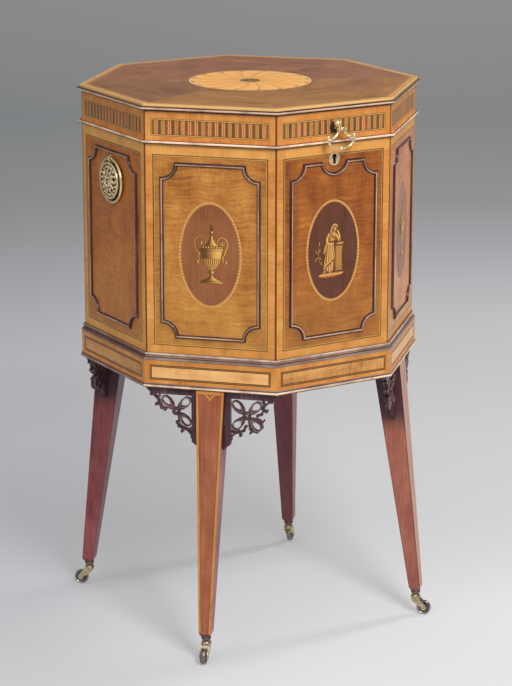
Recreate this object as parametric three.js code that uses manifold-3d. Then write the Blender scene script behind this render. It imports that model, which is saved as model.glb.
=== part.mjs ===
// Octagonal cellarette on a stand: an eight-sided case with a hinged lid, a lead-lined inside
// with a bottle lattice, four square tapered legs with pierced brackets, and brass castors.
// Millimetres, +Z up. The front side faces -Y.

import * as THREE from "three";
import { mergeVertices } from "three/addons/utils/BufferGeometryUtils.js";
import Module from "manifold-3d";

const wasm = await Module();
wasm.setup();

// Clearances, cuts and mesh steps
const seatGap = 0.3;
const runGap = 0.3;
const pinGap = 0.08;
const cutOverrun = 2;
const mergeDistance = 0.0001;
const arcSteps = 4;
const mouldingSteps = 9;
const roundSides = 16;
const wireSides = 6;

// Heights, from the floor up
const castorHeight = 36.4;
const legLength = 330;
const standRailHeight = 37.6;
const standCollarHeight = 9.6;
const caseHeight = 286;
const lidRailHeight = 41.6;
const lidBoardThickness = 10;

// Case
const sideCount = 8;
const caseAcross = 420;
const boardThickness = 14;
const floorThickness = 12;
const linerThickness = 1.6;
const linerHeight = 224;
const slatHeight = 120;
const slatThickness = 6;
const slatSpacing = 130;

// Raised panel mouldings
const panelMargin = 22.5;
const panelTopMargin = 25;
const panelBottomMargin = 33;
const panelCornerRadius = 19.5;
const panelBeadWidth = 5;
const panelBeadHeight = 3.4;
const keyDipRadius = 20;

// Lid
const lidBeadRadius = 2.6;
const lidBeadReach = 5;
const noseRadius = 2.2;
const noseReach = 6.3;
const lidBoardReach = 2;
const lidRebateHeight = 7.1;
const lidRebateDepth = 5;

// Stand
const standReach = 4.4;
const standRailThickness = 22.4;
const standBeadRadius = 2.6;
const standBeadReach = 2.1;
const standFilletReach = 1;
const standFilletHeight = 1.6;
const collarBeadRadius = 1.9;
const collarCoveRadius = 3;

// Legs
const legTopWidth = 37.8;
const legFootWidth = 16.4;
const legSplay = 32.4;
const legFootChamfer = 2;
const legFootChamferHeight = 4;
const tenonWidth = 24;
const tenonDepth = 14;
const tenonHeight = 20;

// Pierced brackets
const bracketReach = 69;
const bracketDrop = 80;
const bracketThickness = 6;
const bracketSetback = 5;
const bracketStileWidth = 7.4;
const bracketRailDepth = 9.2;
const bossAcross = 28.6;
const bossDown = 32;
const bossRadius = 5.6;
const bossHoleRadius = 2.1;
const petalLength = 27;
const petalHalfWidth = 8.6;
const petalBand = 2.2;
const budRadius = 2.3;
const strapWidth = 2.6;

// Trims of a bracket, as shares of the petal's length out from the boss: across and up
const leafShares = {
  near: [0.8, 0.86],
  fork: [0.9, 0.56],
  stem: [0.83, 0.33],
  curl: [0.74, 0.14],
  tail: [0.55, 0.05],
  heel: [0.76, 0.45],
  knop: [0.99, 0.3],
  far: [1.12, 0.79],
  lobe: [1.25, 0.8],
};
const crescentShares = {
  root: [0.2, -0.12],
  horn: [0.66, -0.17],
  shoulder: [0.73, -0.31],
  rim: [0.76, -0.52],
  spur: [0.88, -0.15],
};

// Castors
const swivelPinRadius = 3;
const swivelPinLength = 24;
const castorCollarRadius = 6.6;
const castorCrownHeight = 13.6;
const castorTrail = 12;
const castorWheelRadius = 10;
const castorWheelWidth = 7;
const castorTreadRound = 1.5;
const castorCheekThickness = 2;
const castorCheekSpread = 5.6;
const castorBossRadius = 3.6;
const castorAxleRadius = 1.6;
const castorSideGap = 0.5;

// Lock
const lockWidth = 44;
const lockHeight = 30;
const lockDepth = 9;
const keyDepthBelowTop = 20;
const keyEyeRadius = 2.1;
const keySlotWidth = 2;
const keySlotLength = 6.6;
const boltLength = 22;
const boltHeight = 6;
const boltThickness = 3;
const boltThrow = 7;
const boltStart = 1;
const boltDrop = 8.6;
const stapleOffset = 10;
const stapleWidth = 3;
const stapleLimb = 1.4;
const linkPlateLength = 26;
const linkPlateThickness = 1.5;
const escutcheonWidth = 16.6;
const escutcheonHeight = 18.4;
const escutcheonThickness = 1.4;

// Hinges
const hingeLength = 38;
const hingeSpacing = 110;
const hingeLeafReach = 11;
const hingeLeafThickness = 1.6;
const hingeBarrelRadius = 3;
const hingePinRadius = 1.3;
const hingeBarrelGap = 0.4;

// Front handle
const rosetteRadius = 7.4;
const rosetteThickness = 2.2;
const postRadius = 2.2;
const postReach = 17;
const postCapRadius = 2.8;
const shankLength = 8;
const knobRadius = 3.8;
const knobOut = 8;
const knobUp = 7;
const bailPinRadius = 1.2;
const bailEyeRadius = 3;
const bailEyeWidth = 2;
const bailHalfWidth = 19;
const bailDrop = 25;
const bailWireRadius = 1.5;
const bailBulbLength = 5;
const bailBulbRadius = 2.9;

// Side masks and rings
const maskHeightBelowTop = 63;
const maskPlateRadius = 25;
const maskFootRadius = 23.4;
const maskFootHeight = 3.4;
const maskPlateThickness = 5.5;
const maskRimHeight = 7.5;
const maskFaceRadius = 15;
const maskFaceDepth = 7;
const maskMuzzleRadius = 5.5;
const maskEarRadius = 3.2;
const maneLobeRadius = 3.8;
const maneRadius = 17.2;
const maneLobeCount = 12;
const ringRadius = 29;
const ringWireRadius = 1.9;
const ringStandoff = 3.3;
const lugWidth = 6;
const lugWall = 1.8;
const ringHoleGap = 0.5;

// Levels and reaches that follow from the sizes above
const turn = (2 * Math.PI) / sideCount;
const flatToEdgeShare = Math.tan(turn / 2);
const standBottom = castorHeight + legLength;
const caseBottom = standBottom + standRailHeight;
const caseTop = caseBottom + caseHeight;
const lidBottom = caseTop + seatGap;
const lidBoardBottom = lidBottom + lidRailHeight;
const caseFlat = caseAcross / 2;
const caseInner = caseFlat - boardThickness;
const linerTopInner = caseInner - seatGap - linerThickness;
const linerFloorTop = caseBottom + floorThickness + linerThickness;
const standFlat = caseFlat + standReach;
const standInner = standFlat - standRailThickness;
const keyHeight = caseTop - keyDepthBelowTop;
const lockMiddle = caseInner + lockDepth / 2;
const boltTop = caseTop - boltDrop;
const boltNose = -stapleOffset + stapleWidth / 2 + boltStart;
const hingeAxisOut = caseFlat + hingeBarrelRadius + hingeBarrelGap;
const hingeAxisHeight = caseTop + seatGap / 2;
const handleHeight = lidBottom + lidRailHeight / 2;
const maskHeight = caseTop - maskHeightBelowTop;
const sideNames = ["front", "front_right", "right", "back_right", "back", "back_left", "left", "front_left"];

// Finishes

function finish(color, roughness, metalness) {
  return new THREE.MeshStandardMaterial({ color, roughness, metalness });
}

function veneer() {
  return finish(0xb5783f, 0.35, 0);
}

function mahogany() {
  return finish(0x7a3f28, 0.4, 0);
}

function darkWood() {
  return finish(0x3a2024, 0.4, 0);
}

function plainWood() {
  return finish(0x9a6a45, 0.7, 0);
}

function brass() {
  return finish(0xb89a5a, 0.3, 1);
}

function lead() {
  return finish(0x6d6f70, 0.65, 1);
}

function steel() {
  return finish(0x77736c, 0.45, 1);
}

// Shape tools

function toSolid(geometry) {
  const bare = geometry.clone();
  bare.deleteAttribute("normal");
  bare.deleteAttribute("uv");
  const merged = mergeVertices(bare, mergeDistance);
  const vertProperties = new Float32Array(merged.attributes.position.array);
  const triVerts = new Uint32Array(merged.index.array);
  return new wasm.Manifold(new wasm.Mesh({ numProp: 3, vertProperties, triVerts }));
}

function toGeometry(solid) {
  const { vertProperties, triVerts } = solid.getMesh();
  return closedGeometry(vertProperties, triVerts);
}

function closedGeometry(positions, indices) {
  const geometry = new THREE.BufferGeometry();
  geometry.setAttribute("position", new THREE.BufferAttribute(new Float32Array(positions), 3));
  geometry.setIndex([...indices]);
  geometry.computeVertexNormals();
  return geometry;
}

function joined(geometries) {
  return toGeometry(geometries.map(toSolid).reduce((whole, piece) => whole.add(piece)));
}

function cutAway(geometry, cutters) {
  return toGeometry(cutters.map(toSolid).reduce((whole, piece) => whole.subtract(piece), toSolid(geometry)));
}

// A box between two corners.
function block([x0, y0, z0], [x1, y1, z1]) {
  const box = new THREE.BoxGeometry(x1 - x0, y1 - y0, z1 - z0);
  return box.translate((x0 + x1) / 2, (y0 + y1) / 2, (z0 + z1) / 2);
}

// A profile of [radius, height] pairs turned about the Z axis.
function turned(profile, segments, start = 0) {
  const points = profile.map(([radius, height]) => new THREE.Vector2(radius, height));
  return new THREE.LatheGeometry(points, segments, start).rotateX(Math.PI / 2);
}

// A closed profile of [distance to the flat, height] pairs carried round the eight sides.
function octagonal(profile) {
  const atCorners = profile.map(([flat, height]) => [flat / Math.cos(turn / 2), height]);
  const startsOnAxis = profile[0][0] === 0;
  return turned(startsOnAxis ? atCorners : [...atCorners, atCorners[0]], sideCount, turn / 2);
}

// The points of an arc in a profile, from one angle to another in degrees.
function arc(centreX, centreY, radius, fromDegrees, toDegrees, steps = arcSteps) {
  return Array.from({ length: steps + 1 }, (_, step) => {
    const angle = THREE.MathUtils.degToRad(THREE.MathUtils.lerp(fromDegrees, toDegrees, step / steps));
    return [centreX + radius * Math.cos(angle), centreY + radius * Math.sin(angle)];
  });
}

function outlineOf(points) {
  return new THREE.Shape(points.map(([x, y]) => new THREE.Vector2(x, y)));
}

function disc(radius, x = 0, y = 0) {
  return new THREE.Shape().absarc(x, y, radius, 0, 2 * Math.PI, false);
}

function slab(shape, depth, curveSegments = arcSteps) {
  return new THREE.ExtrudeGeometry(shape, { depth, bevelEnabled: false, curveSegments });
}

// Turns a drawing in X and Y, with its thickness along Z, upright: its front then faces -Y.
function upright(geometry) {
  return geometry.rotateX(Math.PI / 2);
}

// A rod along X, centred on the axis point given.
function crossRod(radius, length, y, z, segments = roundSides) {
  const rod = new THREE.CylinderGeometry(radius, radius, length, segments);
  return rod.rotateZ(Math.PI / 2).translate(0, y, z);
}

// A round wire along a smooth curve through points in a plane.
function wire(points, radius, steps) {
  const path = new THREE.CatmullRomCurve3(points.map(([x, y]) => new THREE.Vector3(x, y, 0)));
  const section = disc(radius);
  return new THREE.ExtrudeGeometry(section, { steps, extrudePath: path, curveSegments: wireSides / 2 });
}

// Square rings stacked in height: each has its height, its distance out, and its two half widths.
function loft(rings) {
  const corners = [[-1, -1], [1, -1], [1, 1], [-1, 1]];
  const positions = rings.flatMap(({ height, out, halfAcross, halfDeep }) =>
    corners.flatMap(([x, y]) => [x * halfAcross, y * halfDeep - out, height]));
  const indices = [];
  const sides = corners.length;
  for (let ring = 0; ring < rings.length - 1; ring += 1) {
    for (let side = 0; side < sides; side += 1) {
      const low = ring * sides + side;
      const lowNext = ring * sides + ((side + 1) % sides);
      indices.push(low, lowNext, lowNext + sides, low, lowNext + sides, low + sides);
    }
  }
  const last = (rings.length - 1) * sides;
  indices.push(0, 2, 1, 0, 3, 2, last, last + 1, last + 2, last, last + 2, last + 3);
  return closedGeometry(positions, indices);
}

// A closed section of [offset outwards, height] pairs carried round a closed outline with mitres.
function mitredLoop(outline, section) {
  const count = outline.length;
  const positions = [];
  const indices = [];
  outline.forEach((point, index) => {
    const before = point.clone().sub(outline[(index + count - 1) % count]).normalize();
    const after = outline[(index + 1) % count].clone().sub(point).normalize();
    const mitre = new THREE.Vector2(before.y + after.y, -before.x - after.x);
    mitre.divideScalar(1 + before.dot(after));
    section.forEach(([offset, height], corner) => {
      positions.push(point.x + mitre.x * offset, point.y + mitre.y * offset, height);
      const next = (corner + 1) % section.length;
      const here = index * section.length;
      const there = ((index + 1) % count) * section.length;
      indices.push(here + corner, there + corner, there + next, here + corner, there + next, here + next);
    });
  });
  return closedGeometry(positions, indices);
}

function piece(name, geometry, material) {
  const mesh = new THREE.Mesh(geometry, material);
  mesh.name = name;
  return mesh;
}

// A group turned to one of the eight sides, in which that side faces -Y.
function sideGroup(index) {
  const group = new THREE.Group();
  group.rotation.z = index * turn;
  return group;
}

// Case

function sideBoard() {
  const outerHalf = caseFlat * flatToEdgeShare - seatGap / 2;
  const innerHalf = caseInner * flatToEdgeShare - seatGap / 2;
  const plan = outlineOf([
    [-outerHalf, -caseFlat],
    [outerHalf, -caseFlat],
    [innerHalf, -caseInner],
    [-innerHalf, -caseInner],
  ]);
  return slab(plan, caseHeight).translate(0, 0, caseBottom);
}

function keyholeShape(grow) {
  const eye = keyEyeRadius + grow;
  const halfSlot = keySlotWidth / 2 + grow;
  const meet = Math.asin(halfSlot / eye);
  const shape = new THREE.Shape();
  shape.moveTo(-halfSlot, -keySlotLength - grow);
  shape.lineTo(halfSlot, -keySlotLength - grow);
  shape.absarc(0, 0, eye, -Math.PI / 2 + meet, 1.5 * Math.PI - meet, false);
  return shape;
}

function keyholeCutter(fromOut, toOut) {
  return upright(slab(keyholeShape(0), toOut - fromOut)).translate(0, -fromOut, keyHeight);
}

function lockMortise() {
  return block(
    [-lockWidth / 2 - seatGap, -caseInner - lockDepth - seatGap, caseTop - lockHeight - seatGap],
    [lockWidth / 2 + seatGap, -caseInner + cutOverrun, caseTop + cutOverrun],
  );
}

function frontSide() {
  return cutAway(sideBoard(), [lockMortise(), keyholeCutter(caseInner, caseFlat + cutOverrun)]);
}

// The bed of one hinge leaf, cut into an edge between two heights.
function hingeBed(side, fromHeight, toHeight) {
  const middle = (side * hingeSpacing) / 2;
  const half = hingeLength / 2 + seatGap;
  return block(
    [middle - half, -caseFlat - cutOverrun, fromHeight],
    [middle + half, -caseFlat + hingeLeafReach + seatGap, toHeight],
  );
}

function backSide() {
  const bedFloor = caseTop - hingeLeafThickness - seatGap;
  return cutAway(sideBoard(), [-1, 1].map((side) => hingeBed(side, bedFloor, caseTop + cutOverrun)));
}

function panelOutline(dipRadius) {
  const half = caseFlat * flatToEdgeShare - panelMargin;
  const low = caseBottom + panelBottomMargin;
  const high = caseTop - panelTopMargin;
  const radius = panelCornerRadius;
  const path = new THREE.Path();
  path.moveTo(-half + radius, low);
  path.lineTo(half - radius, low);
  path.absarc(half, low, radius, Math.PI, Math.PI / 2, true);
  path.lineTo(half, high - radius);
  path.absarc(half, high, radius, 1.5 * Math.PI, Math.PI, true);
  if (dipRadius > 0) {
    const meet = Math.asin((keyHeight - high) / dipRadius);
    path.absarc(0, keyHeight, dipRadius, -meet, Math.PI + meet, true);
  }
  path.absarc(-half, high, radius, 0, -Math.PI / 2, true);
  path.lineTo(-half, low + radius);
  path.absarc(-half, low, radius, Math.PI / 2, 0, true);
  const points = path.getPoints(3);
  const next = (index) => points[(index + 1) % points.length];
  return points.filter((point, index) => point.distanceTo(next(index)) > mergeDistance);
}

function panelMoulding(dipRadius) {
  const half = panelBeadWidth / 2;
  const crestShare = 0.55;
  const section = [
    [-half, 0],
    [half, 0],
    [half * crestShare, panelBeadHeight],
    [-half * crestShare, panelBeadHeight],
  ];
  return upright(mitredLoop(panelOutline(dipRadius), section)).translate(0, -caseFlat - seatGap, 0);
}

function caseSides() {
  const group = new THREE.Group();
  const special = { front: frontSide, back: backSide };
  sideNames.forEach((name, index) => {
    const side = sideGroup(index);
    const board = special[name] ? special[name]() : sideBoard();
    side.add(piece(`carcass_side_${name}`, board, veneer()));
    const moulding = panelMoulding(name === "front" ? keyDipRadius : 0);
    side.add(piece(`panel_moulding_${name}`, moulding, darkWood()));
    group.add(side);
  });
  return group;
}

function caseFloor() {
  const flat = caseInner - seatGap;
  const top = caseBottom + floorThickness;
  const profile = [[0, caseBottom], [flat, caseBottom], [flat, top], [0, top]];
  return piece("carcass_floor", octagonal(profile), plainWood());
}

function leadLiner() {
  const outer = caseInner - seatGap;
  const inner = linerTopInner;
  const low = caseBottom + floorThickness;
  const high = low + linerHeight;
  const wall = [[outer, low], [outer, high], [inner, high], [inner, linerFloorTop]];
  return piece("lead_liner", octagonal([[0, low], ...wall, [0, linerFloorTop]]), lead());
}

// One slat of the bottle lattice, with half-depth slots where the crossing slats pass.
function slat(slotsFromTop) {
  const half = linerTopInner - seatGap;
  const top = linerFloorTop + slatHeight;
  const middle = linerFloorTop + slatHeight / 2;
  const board = block([-half, -slatThickness / 2, linerFloorTop], [half, slatThickness / 2, top]);
  const slotLow = slotsFromTop ? middle - seatGap / 2 : linerFloorTop - cutOverrun;
  const slotHigh = slotsFromTop ? top + cutOverrun : middle + seatGap / 2;
  const slotHalf = slatThickness / 2 + seatGap;
  const slots = [-1, 1].map((side) => {
    const x = (side * slatSpacing) / 2;
    return block([x - slotHalf, -slatThickness, slotLow], [x + slotHalf, slatThickness, slotHigh]);
  });
  return cutAway(board, slots);
}

function bottleLattice() {
  const group = new THREE.Group();
  const offset = slatSpacing / 2;
  [["front", -1], ["back", 1]].forEach(([name, side]) => {
    const across = piece(`bottle_slat_${name}`, slat(true), plainWood());
    across.position.y = side * offset;
    group.add(across);
  });
  [["left", -1], ["right", 1]].forEach(([name, side]) => {
    const along = piece(`bottle_slat_${name}`, slat(false).rotateZ(Math.PI / 2), plainWood());
    along.position.x = side * offset;
    group.add(along);
  });
  return group;
}

// Lock

function lockCase() {
  const half = lockWidth / 2;
  const body = block([-half, -caseInner - lockDepth, caseTop - lockHeight], [half, -caseInner, caseTop]);
  const boltHalf = boltThickness / 2 + runGap;
  const guide = block(
    [boltNose - boltThrow - runGap, -lockMiddle - boltHalf, boltTop - boltHeight - runGap],
    [boltNose + boltLength + runGap, -lockMiddle + boltHalf, boltTop + runGap],
  );
  const hoopHalf = boltHalf + stapleLimb + 2 * runGap;
  const hoopAcross = stapleWidth / 2 + runGap;
  const pocketLow = boltTop - boltHeight - stapleLimb - 3 * runGap;
  const pocket = block(
    [-stapleOffset - hoopAcross, -lockMiddle - hoopHalf, pocketLow],
    [-stapleOffset + hoopAcross, -lockMiddle + hoopHalf, caseTop + cutOverrun],
  );
  const keyWay = keyholeCutter(lockMiddle, caseInner + lockDepth + cutOverrun);
  return piece("lock_case", cutAway(body, [guide, pocket, keyWay]), steel());
}

function lockBolt() {
  const tail = boltNose + boltLength;
  const low = boltTop - boltHeight;
  const chamferShare = 0.25;
  const talonShare = 0.3;
  const chamfer = boltHeight * chamferShare;
  const talon = boltHeight * talonShare;
  const profile = outlineOf([
    [boltNose, low + chamfer],
    [boltNose + chamfer, low],
    [-talon, low],
    [-talon, low + talon],
    [talon, low + talon],
    [talon, low],
    [tail, low],
    [tail, boltTop],
    [boltNose + chamfer, boltTop],
    [boltNose, boltTop - chamfer],
  ]);
  const bolt = upright(slab(profile, boltThickness)).translate(0, boltThickness / 2 - lockMiddle, 0);
  return piece("lock_bolt", bolt, steel());
}

// The link plate in the underside of the lid, with the staple that the bolt passes through.
function linkPlate() {
  const halfDepth = lockDepth / 2 - seatGap;
  const middleX = -stapleOffset;
  const plate = block(
    [middleX - linkPlateLength / 2, -lockMiddle - halfDepth, lidBottom],
    [middleX + linkPlateLength / 2, -lockMiddle + halfDepth, lidBottom + linkPlateThickness],
  );
  const eyeHalf = boltThickness / 2 + runGap;
  const eyeLow = boltTop - boltHeight - runGap;
  const hoop = block(
    [middleX - stapleWidth / 2, -lockMiddle - eyeHalf - stapleLimb, eyeLow - stapleLimb],
    [middleX + stapleWidth / 2, -lockMiddle + eyeHalf + stapleLimb, lidBottom + linkPlateThickness / 2],
  );
  const eye = block(
    [middleX - stapleWidth, -lockMiddle - eyeHalf, eyeLow],
    [middleX + stapleWidth, -lockMiddle + eyeHalf, boltTop + runGap],
  );
  return piece("lock_link_plate", cutAway(joined([plate, hoop]), [eye]), steel());
}

function escutcheon() {
  const oval = new THREE.Shape();
  oval.absellipse(0, 0, escutcheonWidth / 2, escutcheonHeight / 2, 0, 2 * Math.PI, false);
  oval.holes.push(new THREE.Path(keyholeShape(0).getPoints(arcSteps)));
  const plate = upright(slab(oval, escutcheonThickness, roundSides / 2));
  plate.translate(0, -caseFlat - seatGap, keyHeight);
  return piece("escutcheon", plate, brass());
}

// Lid

function lidRailProfile() {
  const beadOut = caseFlat + lidBeadReach - lidBeadRadius;
  const beadHeight = lidBottom + lidBeadRadius;
  return [
    [caseInner, lidBottom],
    ...arc(beadOut, beadHeight, lidBeadRadius, -90, 90, mouldingSteps),
    [caseFlat, lidBottom + 2 * lidBeadRadius],
    [caseFlat, lidBoardBottom],
    [caseInner, lidBoardBottom],
  ];
}

function knuckleNotch(side) {
  const middle = (side * hingeSpacing) / 2;
  const half = hingeLength / 2 + seatGap;
  const top = hingeAxisHeight + hingeBarrelRadius + hingeBarrelGap;
  return block(
    [middle - half, caseFlat - seatGap, lidBottom - cutOverrun],
    [middle + half, caseFlat + lidBeadReach + cutOverrun, top],
  );
}

function lidRail() {
  const bedTop = lidBottom + hingeLeafThickness + seatGap;
  const beds = [-1, 1].map((side) => hingeBed(side, lidBottom - cutOverrun, bedTop).rotateZ(Math.PI));
  const notches = [-1, 1].map((side) => knuckleNotch(side));
  const linkBed = block(
    [-stapleOffset - linkPlateLength / 2 - seatGap, -lockMiddle - lockDepth / 2, lidBottom - cutOverrun],
    [
      -stapleOffset + linkPlateLength / 2 + seatGap,
      -caseInner + cutOverrun,
      lidBottom + linkPlateThickness + seatGap,
    ],
  );
  const shankHole = upright(slab(disc(postRadius + seatGap), shankLength + seatGap + cutOverrun));
  shankHole.translate(0, shankLength + seatGap - caseFlat, handleHeight);
  return cutAway(octagonal(lidRailProfile()), [...beds, ...notches, linkBed, shankHole]);
}

function lidBoard() {
  const overhang = caseFlat + lidBoardReach;
  const rebated = overhang - lidRebateDepth;
  const step = lidBoardBottom + lidRebateHeight;
  const top = lidBoardBottom + lidBoardThickness;
  return octagonal([
    [0, lidBoardBottom],
    [rebated, lidBoardBottom],
    [rebated, step],
    [overhang, step],
    [overhang, top],
    [0, top],
  ]);
}

function lidEdgeMoulding() {
  const inner = caseFlat + lidBoardReach - lidRebateDepth + seatGap;
  const step = lidBoardBottom + lidRebateHeight;
  const noseOut = caseFlat + noseReach - noseRadius;
  const noseHeight = step - noseRadius;
  return octagonal([
    [inner, lidBoardBottom],
    [caseFlat, lidBoardBottom],
    ...arc(caseFlat + noseRadius, lidBoardBottom, noseRadius, 180, 90, arcSteps + 1),
    ...arc(noseOut, noseHeight, noseRadius, -60, 90, mouldingSteps),
    [inner, step],
  ]);
}

function hingeLeaf(side, upper) {
  const half = hingeLength / 2;
  const knuckle = hingeLength / 3;
  const low = upper ? lidBottom : caseTop - hingeLeafThickness;
  const high = low + hingeLeafThickness;
  const plate = block([-half, caseFlat - hingeLeafReach, low], [half, caseFlat, high]);
  const tabs = upper ? [[-0.5, 0.5]] : [[-1.5, -0.5], [0.5, 1.5]];
  const parts = [plate];
  tabs.forEach(([fromShare, toShare]) => {
    const from = fromShare * knuckle + (upper ? runGap : 0) + (fromShare > 0 ? runGap : 0);
    const to = toShare * knuckle - (upper ? runGap : 0) - (toShare < 0 ? runGap : 0);
    const barrel = crossRod(hingeBarrelRadius, to - from, hingeAxisOut, hingeAxisHeight, 2 * wireSides);
    parts.push(block([from, caseFlat - seatGap, low], [to, hingeAxisOut, high]));
    parts.push(barrel.translate((from + to) / 2, 0, 0));
  });
  const leaf = upper
    ? cutAway(joined(parts), [crossRod(hingePinRadius + pinGap, hingeLength, hingeAxisOut, hingeAxisHeight)])
    : joined([...parts, crossRod(hingePinRadius, hingeLength - runGap, hingeAxisOut, hingeAxisHeight)]);
  return leaf.translate((side * hingeSpacing) / 2, 0, 0);
}

function hinges(upper) {
  const word = upper ? "upper" : "lower";
  return [["left", -1], ["right", 1]].map(([name, side]) =>
    piece(`hinge_leaf_${word}_${name}`, hingeLeaf(side, upper), brass()));
}

function handleRosette() {
  const capOut = postReach + postCapRadius;
  const neckShare = 0.55;
  const turnedPost = turned([
    [0, -shankLength],
    [postRadius, -shankLength],
    [postRadius, seatGap],
    [rosetteRadius, seatGap],
    [rosetteRadius, seatGap + rosetteThickness * neckShare],
    [rosetteRadius * neckShare, seatGap + rosetteThickness],
    [postRadius, rosetteThickness + postRadius],
    [postRadius, postReach - postCapRadius],
    [postCapRadius, postReach],
    [postRadius * neckShare, capOut],
    [0, capOut],
  ], wireSides + 4);
  const knob = new THREE.SphereGeometry(knobRadius, wireSides + 4, wireSides).rotateX(Math.PI / 2);
  knob.translate(0, knobUp, knobOut);
  const neck = new THREE.CylinderGeometry(postRadius * neckShare, postRadius, knobUp, wireSides);
  neck.translate(0, knobUp / 2, knobOut);
  const pinHalf = postCapRadius + bailEyeWidth + 2 * runGap;
  const pin = crossRod(bailPinRadius, 2 * pinHalf, 0, postReach);
  const studMiddle = pinHalf + bailPinRadius / 2;
  const studs = [-1, 1].map((side) => {
    const stud = crossRod(bailEyeRadius * neckShare, bailPinRadius, 0, postReach, 2 * wireSides);
    return stud.translate(side * studMiddle, 0, 0);
  });
  const whole = joined([turnedPost, neck, knob, pin, ...studs]);
  return piece("handle_rosette", upright(whole).translate(0, -caseFlat, handleHeight), brass());
}

// The swinging bail: two spread arms, a hanging swag with a bulb, and an eye on each arm.
function handleBail() {
  const armShares = [[0, -0.14], [0.25, -0.3], [0.55, -0.46], [1, -0.5]];
  const swagShares = [[1, -0.5], [0.93, -0.72], [0.6, -0.93], [0.2, -1], [0, -1]];
  const eyeMiddle = postCapRadius + runGap + bailEyeWidth / 2;
  const spread = bailHalfWidth - eyeMiddle;
  const parts = [];
  [-1, 1].forEach((side) => {
    const arm = armShares.map(([x, y]) => [side * (eyeMiddle + x * spread), y * bailDrop]);
    parts.push(wire(arm, bailWireRadius, wireSides - 1));
    const tip = new THREE.SphereGeometry(bailWireRadius * 1.4, wireSides, wireSides - 2);
    parts.push(tip.translate(side * bailHalfWidth, (-0.5) * bailDrop, 0));
    parts.push(crossRod(bailEyeRadius, bailEyeWidth, 0, 0, 2 * wireSides).translate(side * eyeMiddle, 0, 0));
  });
  const rightSwag = swagShares.map(([x, y]) => [x * bailHalfWidth, y * bailDrop]);
  const leftSwag = rightSwag.slice(0, -1).map(([x, y]) => [-x, y]);
  parts.push(wire([...leftSwag, ...rightSwag.reverse()], bailWireRadius, 2 * wireSides - 2));
  const bulb = new THREE.SphereGeometry(bailBulbRadius, wireSides + 2, wireSides - 2).rotateZ(Math.PI / 2);
  parts.push(bulb.scale(bailBulbLength / bailBulbRadius, 1, 1).translate(0, -bailDrop, 0));
  const bore = crossRod(bailPinRadius + pinGap, 2 * bailHalfWidth, 0, 0);
  const bail = upright(cutAway(joined(parts), [bore])).translate(0, -caseFlat - postReach, handleHeight);
  return piece("handle_bail", bail, brass());
}

function lid() {
  const group = new THREE.Group();
  group.add(piece("lid_rail", lidRail(), veneer()));
  group.add(piece("lid_board", lidBoard(), veneer()));
  group.add(piece("lid_edge_moulding", lidEdgeMoulding(), darkWood()));
  group.add(linkPlate(), handleRosette(), handleBail(), ...hinges(true));
  return group;
}

// Side masks and rings

// A shallow dome over the drawing plane, with its edge sunk to the depth given.
function dome(radius, depth, sunk) {
  const crest = arc(0, 0, 1, 0, 90, arcSteps - 1).map(([x, y]) => [x * radius, y * depth]);
  return turned([[0, -sunk], [radius, -sunk], ...crest], 2 * wireSides);
}

function maskPlate() {
  const rimInShare = 0.88;
  const disk = turned([
    [0, 0],
    [maskFootRadius, 0],
    [maskFootRadius, maskFootHeight],
    [maskPlateRadius, maskPlateThickness],
    [maskPlateRadius * (0.5 + rimInShare / 2), maskRimHeight],
    [maskPlateRadius * rimInShare, maskPlateThickness],
    [0, maskPlateThickness],
  ], 4 * wireSides);
  const sunk = maskPlateThickness / 2;
  const face = dome(maskFaceRadius, maskFaceDepth, sunk).translate(0, 0, maskPlateThickness);
  const muzzleShare = 0.8;
  const earShare = 0.5;
  const muzzle = new THREE.SphereGeometry(maskMuzzleRadius, wireSides + 2, wireSides - 2);
  muzzle.translate(0, -maskMuzzleRadius, maskPlateThickness + maskFaceDepth * muzzleShare);
  const parts = [disk, face, muzzle];
  [-1, 1].forEach((side) => {
    const ear = new THREE.OctahedronGeometry(maskEarRadius);
    const earHeight = maskPlateThickness + maskFaceDepth * earShare;
    parts.push(ear.translate(side * maskFaceRadius * 0.72, maskFaceRadius * 0.72, earHeight));
  });
  for (let lobe = 0; lobe < maneLobeCount; lobe += 1) {
    const angle = (2 * Math.PI * (lobe + 0.5)) / maneLobeCount;
    const tuft = new THREE.OctahedronGeometry(maneLobeRadius);
    tuft.rotateZ(angle);
    const tuftHeight = maskPlateThickness + maneLobeRadius / 2;
    tuft.translate(maneRadius * Math.cos(angle), maneRadius * Math.sin(angle), tuftHeight);
    parts.push(tuft);
  }
  return joined(parts);
}

// The eye that the ring hangs in, at the top of the plate.
function maskLug() {
  const bore = ringWireRadius + ringHoleGap;
  const outer = bore + lugWall;
  const standoff = ringStandoff - seatGap;
  const section = new THREE.Shape();
  section.moveTo(0, ringRadius - outer - lugWall);
  section.lineTo(standoff, ringRadius - outer);
  section.absarc(standoff, ringRadius, outer, -Math.PI / 2, Math.PI / 2, false);
  section.lineTo(0, ringRadius + outer);
  section.holes.push(new THREE.Path().absarc(standoff, ringRadius, bore, 0, 2 * Math.PI, false));
  const lug = slab(section, lugWidth, arcSteps * 2).translate(0, 0, -lugWidth / 2);
  return lug.rotateY(-Math.PI / 2);
}

function ringHandle(name, index) {
  const group = sideGroup(index);
  const plate = upright(joined([maskPlate(), maskLug()]));
  group.add(piece(`mask_plate_${name}`, plate.translate(0, -caseFlat - seatGap, maskHeight), brass()));
  const ring = upright(new THREE.TorusGeometry(ringRadius, ringWireRadius, wireSides, 4 * wireSides));
  group.add(piece(`mask_ring_${name}`, ring.translate(0, -caseFlat - ringStandoff, maskHeight), brass()));
  return group;
}

// Stand

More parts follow.
